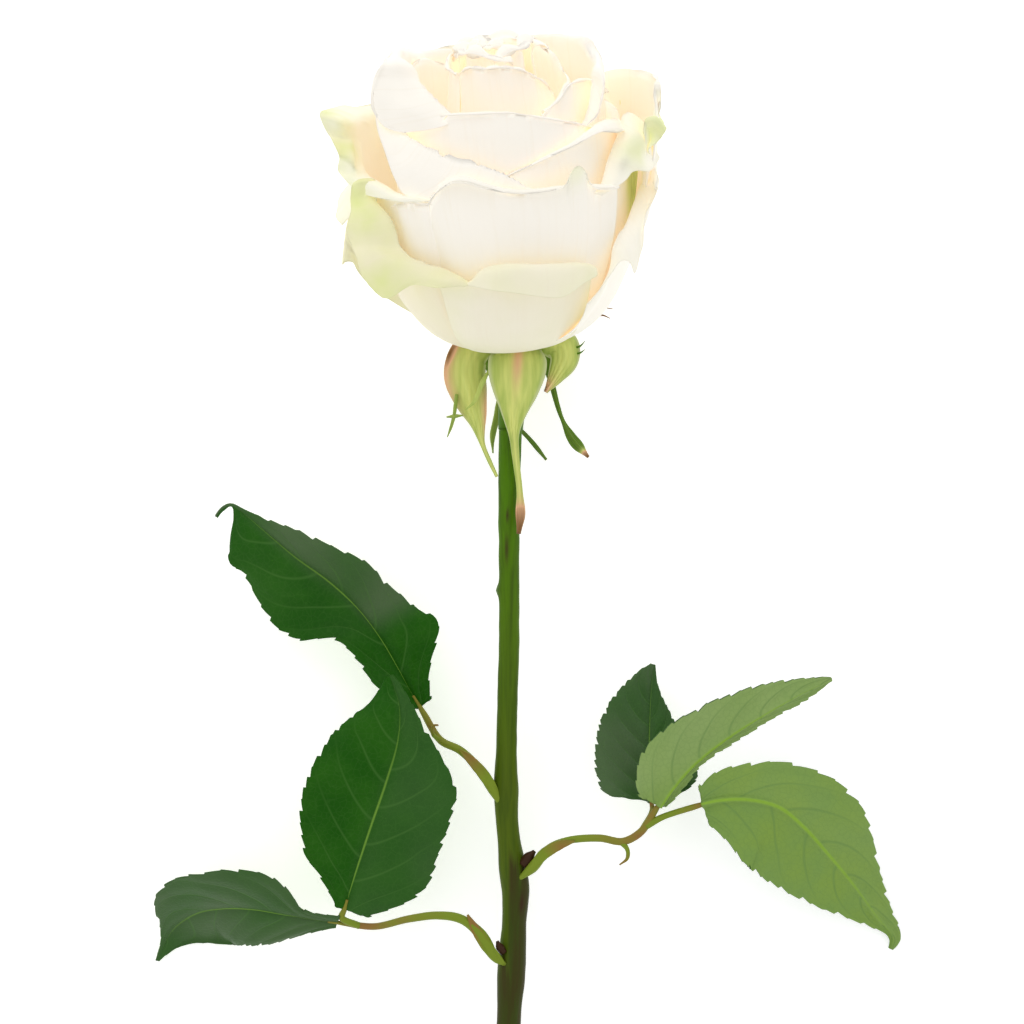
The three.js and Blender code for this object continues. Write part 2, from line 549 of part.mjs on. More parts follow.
// Leaf stalks, each with its stipule at the foot, from the stem to the leaflets they bear.
const STALKS = {
  low_left_leaf_stalk: {
    line: [[-1.5, -155.5, 0.8], [-5.4, -150.5, 2.6], [-8.9, -143.6, 3.6], [-13.4, -140.4, 4],
      [-19, -139.6, 3.6], [-26, -140.6, 2.4], [-34, -142.6, 0.6]],
    radii: [2.2, 1.5, 1.05, 0.95, 0.9, 0.85],
    bears: "low_left_side_leaflet",
    twigs: [{ line: [[-37.8, -142.6, -0.4]], radii: [0.85, 0.8], bears: "low_left_top_leaflet" }],
    stipule: [[-3.6, -153.6, 2.6], [-7.2, -147.6, 4], [-10, -142.6, 4.6], [-12, -139, 5]],
  },
  top_left_leaf_stalk: {
    line: [[-2.2, -114.5, 0], [-5.6, -110, 1.6], [-9.2, -104.6, 1.4], [-13.6, -100.4, 0.4],
      [-18.4, -98, -0.8]],
    radii: [2.1, 1.5, 1.15, 1, 0.9],
    bears: "top_left_leaflet",
    twigs: [{ line: [[-18.6, -98, -0.6], [-20.2, -96.4, 1.2], [-20, -94.4, 2], [-18.8, -94.2, 2]],
      radii: [0.6, 0.45, 0.35] }],
    stipule: [[-4, -112, 2], [-8, -106, 2.8], [-11.6, -102, 2.2], [-14, -100, 1.4]],
  },
  right_leaf_stalk: {
    line: [[0.4, -133, 1], [4, -127.4, 3.2], [7.6, -123.6, 4.8], [12, -121.5, 6], [19.6, -120.8, 7],
      [25.2, -121.6, 7], [29.4, -119.4, 6.8]],
    radii: [2.3, 1.5, 1.1, 1, 0.95, 0.9, 0.95, 0.9],
    bears: "right_middle_leaflet",
    twigs: [
      { line: [[24.6, -121.6, 7], [26.2, -123.4, 7.4], [26.2, -125.6, 7.2], [24.4, -127.2, 6.6]],
        radii: [0.7, 0.5, 0.35] },
      { line: [[30.6, -118, 6.8], [34.6, -115.8, 7]], radii: [0.9, 0.75, 0.75],
        bears: "right_end_leaflet" },
      { line: [[30, -118.6, 6.5]], radii: [0.8, 0.7], bears: "right_back_leaflet" },
    ],
    stipule: [[3, -129, 3.6], [6.6, -124.6, 5.4], [10.4, -122.4, 6.6], [14, -121.4, 7.4]],
  },
};

const STIPULE = {
  wide: [1.6, 1.6], outline: [0.3, 0.9, 1, 0.8, 0.3], roll: [0], fold: [8], cup: 0, wave: [0, 1, 0],
};

// The last points of a stalk that ends square to a leaflet's base, just short of it.
function leafletFoot(name) {
  const curve = ribCurve(LEAFLETS[name].rib);
  const base = curve.getPointAt(LEAFLET_START);
  const ahead = curve.getTangentAt(LEAFLET_START);
  return [SEAT_GAP + 2, SEAT_GAP].map((back) => base.clone().addScaledVector(ahead, -back).toArray());
}

function leafStalk(part, steps) {
  const line = part.bears ? [...part.line, ...leafletFoot(part.bears)] : part.line;
  return stalk(line, part.radii, 6, steps);
}


function stalkSolid(leaf) {
  const parts = [
    leafStalk(leaf, 12),
    ...leaf.twigs.map((twig) => leafStalk(twig, 4)),
    sheet(
      bladeSurface({ ...STIPULE, rib: leaf.stipule }),
      [-1, 0, 1],
      places(5, (x) => mix(0.04, 0.96, x)),
      BLADE_THICKNESS,
    ),
  ];
  return fuse([fuse(parts).subtract(stemTube(SEAT_GAP)).subtract(axilBud(SEAT_GAP))]);
}

// Hip and sepals, one piece. The sepals turn down from the rim of the hip.
const HIP_PROFILE = [
  [0, -23.6], [2.95, -23.6], [3.3, -18], [4.3, -12.5], [5.7, -7.5], [6.1, -4], [5.4, -1],
  [4.4, -0.3], [0, -0.3],
];
const SEPALS = [
  { // front, with a long tail down the stem
    rib: [[0.4, -3.2, 4.2], [0.3, -5.4, 7.6], [0, -9.4, 9], [-0.4, -15.4, 8.6], [-0.8, -23, 7],
      [-0.2, -31, 5.4], [0.6, -38, 4.8], [0.8, -44, 4.8], [0.4, -48.4, 5]],
    wide: [7, 7], outline: [0.8, 1, 0.98, 0.82, 0.6, 0.38, 0.21, 0.13, 0.11, 0.17, 0.08],
  },
  { // left
    rib: [[-3, -2, 2.6], [-7.5, -2.6, 3.6], [-11.2, -5.2, 4.4], [-12.5, -9.8, 5], [-11.4, -15.1, 5.4],
      [-9.6, -21, 5.4], [-8.2, -27.1, 5.2], [-6.5, -31.2, 5], [-4.8, -34.8, 4.8]],
    wide: [5, 5], outline: [0.6, 0.7, 0.9, 1, 1, 0.88, 0.68, 0.38, 0.14, 0.12, 0.1],
  },
  { // right, short
    rib: [[3, -1.8, 2.4], [7.4, -2, 3.4], [10.8, -3.6, 4], [11.3, -6.6, 4.2], [9.4, -10.6, 4.4],
      [6.8, -14.6, 4.6]],
    wide: [4.2, 4.2], outline: [0.6, 0.8, 0.95, 1, 0.95, 0.85, 0.7, 0.5, 0.3, 0.1],
  },
  { // back right, with a leafy end
    rib: [[3, -1.6, -2.6], [6.6, -2.6, -5.6], [8.4, -6, -7.2], [8.2, -10, -7], [9.4, -16, -6],
      [11, -21, -4.6], [13.4, -25.6, -3.6], [15.4, -28, -3], [17.2, -30, -2.6]],
    wide: [4.4, 4.4], outline: [0.7, 1, 0.95, 0.5, 0.16, 0.13, 0.12, 0.14, 0.36, 0.4, 0.1],
  },
  { // back left, its tail passing behind the stem
    rib: [[-2.6, -1.6, -3], [-4.4, -3.2, -7], [-4.6, -9, -8.8], [-3.6, -15, -8], [-1, -21, -6.6],
      [3.4, -26, -5.8], [7.1, -30.6, -5.2]],
    wide: [4.6, 4.6], outline: [0.75, 1, 0.95, 0.72, 0.44, 0.2, 0.13, 0.12, 0.13, 0.2, 0.1],
  },
];
const SEPAL_LOBES = [ // narrow side lobes of the sepals, with their radii
  { line: [[-14, -12.4, 5.2], [-14.6, -17, 6], [-15, -20.4, 6.6]], radii: [0.6, 0.5, 0.4] },
  { line: [[-16.8, -20.6, 6.8], [-15, -20.4, 6.6], [-12.9, -20.2, 6.4]], radii: [0.35, 0.5, 0.35] },
  { line: [[-14.9, -20, 6.6], [-15.6, -22.6, 6.6], [-16.6, -25.4, 6.4]], radii: [0.5, 0.4, 0.35] },
  { line: [[-6.5, -9.2, 6.6], [-8.2, -12.4, 7.6], [-10.2, -17, 7.4], [-12.2, -18.8, 7]],
    radii: [0.5, 0.6, 0.6, 0.35] },
  { line: [[-3.9, -13.6, -7.6], [-4.7, -19.4, -6.6], [-5.9, -25, -5.6], [-5.8, -29, -5.2]],
    radii: [0.6, 0.9, 0.8, 0.35] },
  { line: [[11.6, -4, 4.2], [13.6, -5.2, 4.6], [14.6, -4.6, 4.8]], radii: [0.5, 0.4, 0.35] },
  { line: [[11.4, -6.6, 4.2], [13, -8.4, 4.6], [14, -8.6, 4.8]], radii: [0.5, 0.4, 0.35] },
];

function calyxSolid() {
  const hip = new THREE.LatheGeometry(HIP_PROFILE.map((p) => new THREE.Vector2(...p)), 10);
  hip.rotateZ(radians(-3.8));
  const blades = SEPALS.map((sepal) =>
    sheet(
      bladeSurface({ ...BLADE, ...sepal, fold: [-12], wave: [0.3, 3, 0], cup: 0.08 }),
      [-1, 0, 1],
      places(12),
      BLADE_THICKNESS,
    ),
  );
  const lobes = SEPAL_LOBES.map((lobe) => stalk(lobe.line, lobe.radii, 4, 4));
  return fuse([fuse([solidOf(hip), ...blades, ...lobes]).subtract(bloomSeat())]);
}

// Assembly

function piece(name, solid, colour, roughness) {
  const material = new THREE.MeshStandardMaterial({ color: colour, roughness, metalness: 0 });
  const mesh = new THREE.Mesh(geometryOf(solid), material);
  mesh.name = name;
  return mesh;
}

const flower = new THREE.Group();

const bloom = new THREE.Group();
bloom.applyMatrix4(bloomTurn);
bloom.add(piece("bloom", bloomSolid(), COLOUR.petal, 0.6));
flower.add(bloom);

flower.add(piece("calyx", calyxSolid(), COLOUR.hip, 0.65));
flower.add(piece("stem", stemSolid(), COLOUR.stem, 0.5));
for (const [name, leaf] of Object.entries(STALKS)) {
  flower.add(piece(name, stalkSolid(leaf), COLOUR.stalk, 0.55));
}
for (const [name, leaflet] of Object.entries(LEAFLETS)) {
  flower.add(piece(name, leafletSolid(leaflet), COLOUR.leafTop, 0.5));
}

flower.applyMatrix4(flowerLie);

const rose = new THREE.Group();
rose.add(flower);
export default rose;
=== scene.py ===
"""A cut rose lying on a pale floor, seen from above: a white bloom on its hip and sepals, and a leafy stem.

Shapes are worked out in millimetres in two frames of the flower's own. In the flower frame the hip's top
is the origin, +Y runs along the stem to the bloom and +Z towards the viewer. In the bloom frame +Y is the
bloom's axis and +Z its front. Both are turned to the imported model's frame, in metres, when a piece is made.
"""

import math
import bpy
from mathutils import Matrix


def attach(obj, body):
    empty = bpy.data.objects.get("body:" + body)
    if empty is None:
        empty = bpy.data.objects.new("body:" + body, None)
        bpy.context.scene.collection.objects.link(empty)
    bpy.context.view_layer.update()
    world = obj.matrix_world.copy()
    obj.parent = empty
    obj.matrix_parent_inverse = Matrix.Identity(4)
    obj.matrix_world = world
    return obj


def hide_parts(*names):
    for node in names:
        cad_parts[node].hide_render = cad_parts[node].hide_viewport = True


bl_info = {
    "name": "Cut Rose",
    "version": (1, 0, 0),
    "blender": (4, 5, 0),
    "location": "View3D > Sidebar > Rose",
    "description": "Builds a cut rose with petals, hip, sepals, stem and toothed leaves",
    "category": "Add Mesh",
}

import bmesh
import bpy
from mathutils import Matrix, Quaternion, Vector, noise
from mathutils.bvhtree import BVHTree

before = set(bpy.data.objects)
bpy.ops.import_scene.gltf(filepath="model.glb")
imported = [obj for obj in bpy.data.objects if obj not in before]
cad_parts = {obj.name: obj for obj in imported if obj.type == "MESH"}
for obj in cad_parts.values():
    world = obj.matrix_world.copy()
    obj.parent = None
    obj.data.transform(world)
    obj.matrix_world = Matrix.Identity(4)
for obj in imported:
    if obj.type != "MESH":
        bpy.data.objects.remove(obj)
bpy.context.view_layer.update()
MM = 0.001

# How the flower lies: the pitch of its stem, and where the hip's top stands over the floor
LIE_PITCH = 3.23
LIE_PLACE = Vector((-1.2, 127.7, 22.0))
LIE_TURN = Matrix.Rotation(math.radians(LIE_PITCH), 4, "X")
BLOOM_NOD = 20  # degrees that the bloom leans out of the stem's line, towards its front
BLOOM_LEAN = 6  # degrees that it leans to its left
BLOOM_TURN = (
    Matrix.Rotation(math.radians(BLOOM_LEAN), 4, "Z") @ Matrix.Rotation(math.radians(BLOOM_NOD), 4, "X")
)
FLOWER = Matrix.Scale(MM, 4) @ Matrix.Translation(LIE_PLACE) @ LIE_TURN
BLOOM = FLOWER @ BLOOM_TURN

# The camera stands square to the stem's pitch. The picture's middle lies at this place of the flower
# frame, and the picture is this wide there.
VIEW_MIDDLE = Vector((-1.2, -43.2, 0))
VIEW_WIDTH = 245.76
SENSOR = 36  # width of the camera's sensor
LENS = 120  # focal length of the camera
PICTURE = 1024  # pixels that the picture is wide


def mix(a, b, share):
    """The value a share of the way from a to b."""
    return a + (b - a) * share


def smooth(x, low, high):
    """Eased step from 0 at low to 1 at high."""
    share = min(max((x - low) / (high - low), 0), 1)
    return share * share * (3 - 2 * share)


def along(figures, t):
    """Value at t, from 0 to 1, of evenly spaced figures, eased between them."""
    if len(figures) == 1:
        return figures[0]
    place = min(max(t, 0), 1) * (len(figures) - 1)
    index = min(int(place), len(figures) - 2)
    return mix(figures[index], figures[index + 1], smooth(place - index, 0, 1))


def through(figures, t):
    """Value at t of evenly spaced figures, on a smooth curve through them all."""
    place = min(max(t, 0), 1) * (len(figures) - 1)
    index = min(int(place), len(figures) - 2)
    a, b, c, d = (figures[min(max(index + k, 0), len(figures) - 1)] for k in (-1, 0, 1, 2))
    x = place - index
    return b + x / 2 * (c - a + x * (2 * a - 5 * b + 4 * c - d + x * (3 * (b - c) + d - a)))


class Line:
    """A smooth curve through points, read by its share of the length."""

    SAMPLES = 240
    EVENNESS = 0.5  # power of the distance between two points that spaces them: no loops, no overshoot

    def __init__(self, points):
        points = [Vector(p) for p in points]
        points = [2 * points[0] - points[1], *points, 2 * points[-1] - points[-2]]
        spans = len(points) - 3
        self.places = []
        for k in range(self.SAMPLES + 1):
            place = k / self.SAMPLES * spans
            index = min(int(place), spans - 1)
            self.places.append(self.point(points[index : index + 4], place - index))
        self.reach = [0.0]
        for a, b in zip(self.places, self.places[1:]):
            self.reach.append(self.reach[-1] + (b - a).length)

    def point(self, four, x):
        """A place between the middle two of four points."""
        p0, p1, p2, p3 = four
        d0, d1, d2 = ((b - a).length ** self.EVENNESS for a, b in zip(four, four[1:]))
        leave = ((p1 - p0) / d0 - (p2 - p0) / (d0 + d1) + (p2 - p1) / d1) * d1
        arrive = ((p2 - p1) / d1 - (p3 - p1) / (d1 + d2) + (p3 - p2) / d2) * d1
        bend = -3 * p1 + 3 * p2 - 2 * leave - arrive
        return p1 + x * (leave + x * (bend + x * (2 * p1 - 2 * p2 + leave + arrive)))

    def find(self, share):
        """The sample before a share of the length, and how far on to the next one it lies."""
        wanted = min(max(share, 0), 1) * self.reach[-1]
        low, high = 0, self.SAMPLES
        while high - low > 1:
            half = (low + high) // 2
            if self.reach[half] > wanted:
                high = half
            else:
                low = half
        return low, (wanted - self.reach[low]) / max(self.reach[high] - self.reach[low], 1e-9)

    def at(self, share):
        """The place at a share of the length."""
        low, rest = self.find(share)
        return self.places[low].lerp(self.places[low + 1], rest)

    def heading(self, share):
        """The way that the curve runs at a share of the length."""
        low, rest = self.find(share)
        before, after = max(low - 1, 0), min(low + 2, self.SAMPLES)
        first = self.places[low + 1] - self.places[before]
        return first.lerp(self.places[after] - self.places[low], rest).normalized()


def evenly(count, low=0.0, high=1.0):
    """The ends of count even steps from low to high."""
    return [mix(low, high, k / count) for k in range(count + 1)]


def with_margins(places, share):
    """Places with one more just inside each end, so that a rim is shaded round and narrow."""
    first, last = places[0], places[-1]
    return [first, first + share, *places[1:-1], last - share, last]


# Sheets and stalks

FLOOR_GAP = 0.9  # height at which the middle of a sheet lies on the floor
FLOOR_EASE = 0.8  # height over which it bends onto the floor


def off_floor(place, frame):
    """A place of a sheet, moved straight up where it would sink into the floor."""
    low = (FLOOR_GAP - (frame @ place).z / MM) / FLOOR_EASE
    rise = FLOOR_EASE * math.log1p(math.exp(low))
    return place + frame.inverted().to_3x3() @ Vector((0, 0, MM * rise))


def new_mesh():
    """An empty bmesh with a UV map for the place on a sheet and layers for its tints."""
    bm = bmesh.new()
    bm.loops.layers.uv.new("place")
    bm.verts.layers.float.new("tint")
    bm.verts.layers.float.new("deep")
    bm.verts.layers.float.new("cream_and_shade")
    return bm


def grid(bm, columns, rows, surface):
    """A grid bent over surface(s, t), with s and t kept in the UV map; gives its vertices with s and t."""
    made = bmesh.ops.create_grid(bm, x_segments=len(columns) - 1, y_segments=len(rows) - 1, size=0.5)
    uv = bm.loops.layers.uv["place"]
    where = {}
    for v in made["verts"]:
        s = columns[round((v.co.x + 0.5) * (len(columns) - 1))]
        t = rows[round((v.co.y + 0.5) * (len(rows) - 1))]
        where[v] = (s, t)
    for face in {f for v in made["verts"] for f in v.link_faces}:
        for loop in face.loops:
            s, t = where[loop.vert]
            loop[uv].uv = (0.5 + 0.5 * s, t)
    for v, (s, t) in where.items():
        v.co = surface(s, t)
    return where


def sheet(surface, columns, rows, half, tints=None, relief=None):
    """A closed sheet over surface(s, t). half(s, t, side) is its half thickness to a side,
    tints(s, t) gives the two tints that its material reads, and relief(s, t, point) moves a place
    along the surface's normal."""
    bm = new_mesh()
    where = grid(bm, columns, rows, surface)
    if relief:
        bm.normal_update()
        moves = [(v, v.normal * relief(s, t, v.co)) for v, (s, t) in where.items()]
        for v, move in moves:
            v.co += move
    tint, deep = bm.verts.layers.float["tint"], bm.verts.layers.float["deep"]
    if tints:
        for v, (s, t) in where.items():
            v[tint], v[deep] = tints(s, t)
    bm.normal_update()
    front = list(where)
    normals = {v: v.normal.copy() for v in front}
    rim = [e for e in bm.edges if e.is_boundary]
    made = bmesh.ops.duplicate(bm, geom=bm.verts[:] + bm.edges[:] + bm.faces[:])
    back_faces = [g for g in made["geom"] if isinstance(g, bmesh.types.BMFace)]
    for v in front:
        s, t = where[v]
        copy = made["vert_map"][v]
        v.co += normals[v] * half(s, t, 1)
        copy.co -= normals[v] * half(s, t, -1)
    bmesh.ops.reverse_faces(bm, faces=back_faces)
    for face in back_faces:
        face.material_index = 1
    back_rim = [g for g in made["geom"] if isinstance(g, bmesh.types.BMEdge) and g.is_boundary]
    bridged = bmesh.ops.bridge_loops(bm, edges=rim + back_rim)
    uv = bm.loops.layers.uv["place"]
    spots = {made["vert_map"][v]: where[v] for v in front} | where
    for face in bridged["faces"]:
        for loop in face.loops:
            s, t = spots[loop.vert]
            loop[uv].uv = (0.5 + 0.5 * s, t)
    bmesh.ops.recalc_face_normals(bm, faces=bm.faces[:])
    return bm


def tube(points, radii, sides, steps):
    """A closed round stalk along a smooth curve, its radius eased along the figures."""
    line = Line(points)
    turn = Vector((1, 0, 0)).cross(line.heading(0))
    across = turn if turn.length > 0.3 else Vector((0, 0, 1)).cross(line.heading(0))
    frames = []
    for j in range(steps + 1):
        ahead = line.heading(j / steps)
        across = (across - across.dot(ahead) * ahead).normalized()
        frames.append((line.at(j / steps), across.copy(), ahead.cross(across)))

    def wall(s, t):
        middle, first, second = frames[round(t * steps)]
        angle = math.pi * s
        return middle + along(radii, t) * (math.cos(angle) * first + math.sin(angle) * second)

    bm = new_mesh()
    grid(bm, evenly(sides, -1, 1), evenly(steps), wall)
    bmesh.ops.remove_doubles(bm, verts=bm.verts[:], dist=1e-4)
    ends = [e for e in bm.edges if e.is_boundary]
    bmesh.ops.holes_fill(bm, edges=ends, sides=0)
    bmesh.ops.recalc_face_normals(bm, faces=bm.faces[:])
    return bm


def tinted(bm, layer, value):
    """A bmesh with one value all over a layer."""
    tint = bm.verts.layers.float[layer]
    for v in bm.verts:
        v[tint] = value
    return bm


def merged(meshes, keep=False):
    """Several bmeshes as one, and themselves freed if they aren't to be kept."""
    whole = new_mesh()
    for bm in meshes:
        mesh = bpy.data.meshes.new("part")
        bm.to_mesh(mesh)
        whole.from_mesh(mesh)
        bpy.data.meshes.remove(mesh)
        if not keep:
            bm.free()
    return whole


def finished(name, bm, matrix, materials, slot, *nodes):
    """A named piece in the model's frame, riding on its body in place of the nodes."""
    bmesh.ops.transform(bm, matrix=matrix, verts=bm.verts[:])
    for face in bm.faces:
        face.smooth = True
    mesh = bpy.data.meshes.new(name)
    bm.to_mesh(mesh)
    bm.free()
    for material in materials:
        mesh.materials.append(material)
    piece = bpy.data.objects.new(name, mesh)
    bpy.context.scene.collection.objects.link(piece)
    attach(piece, "root")
    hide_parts(*nodes)
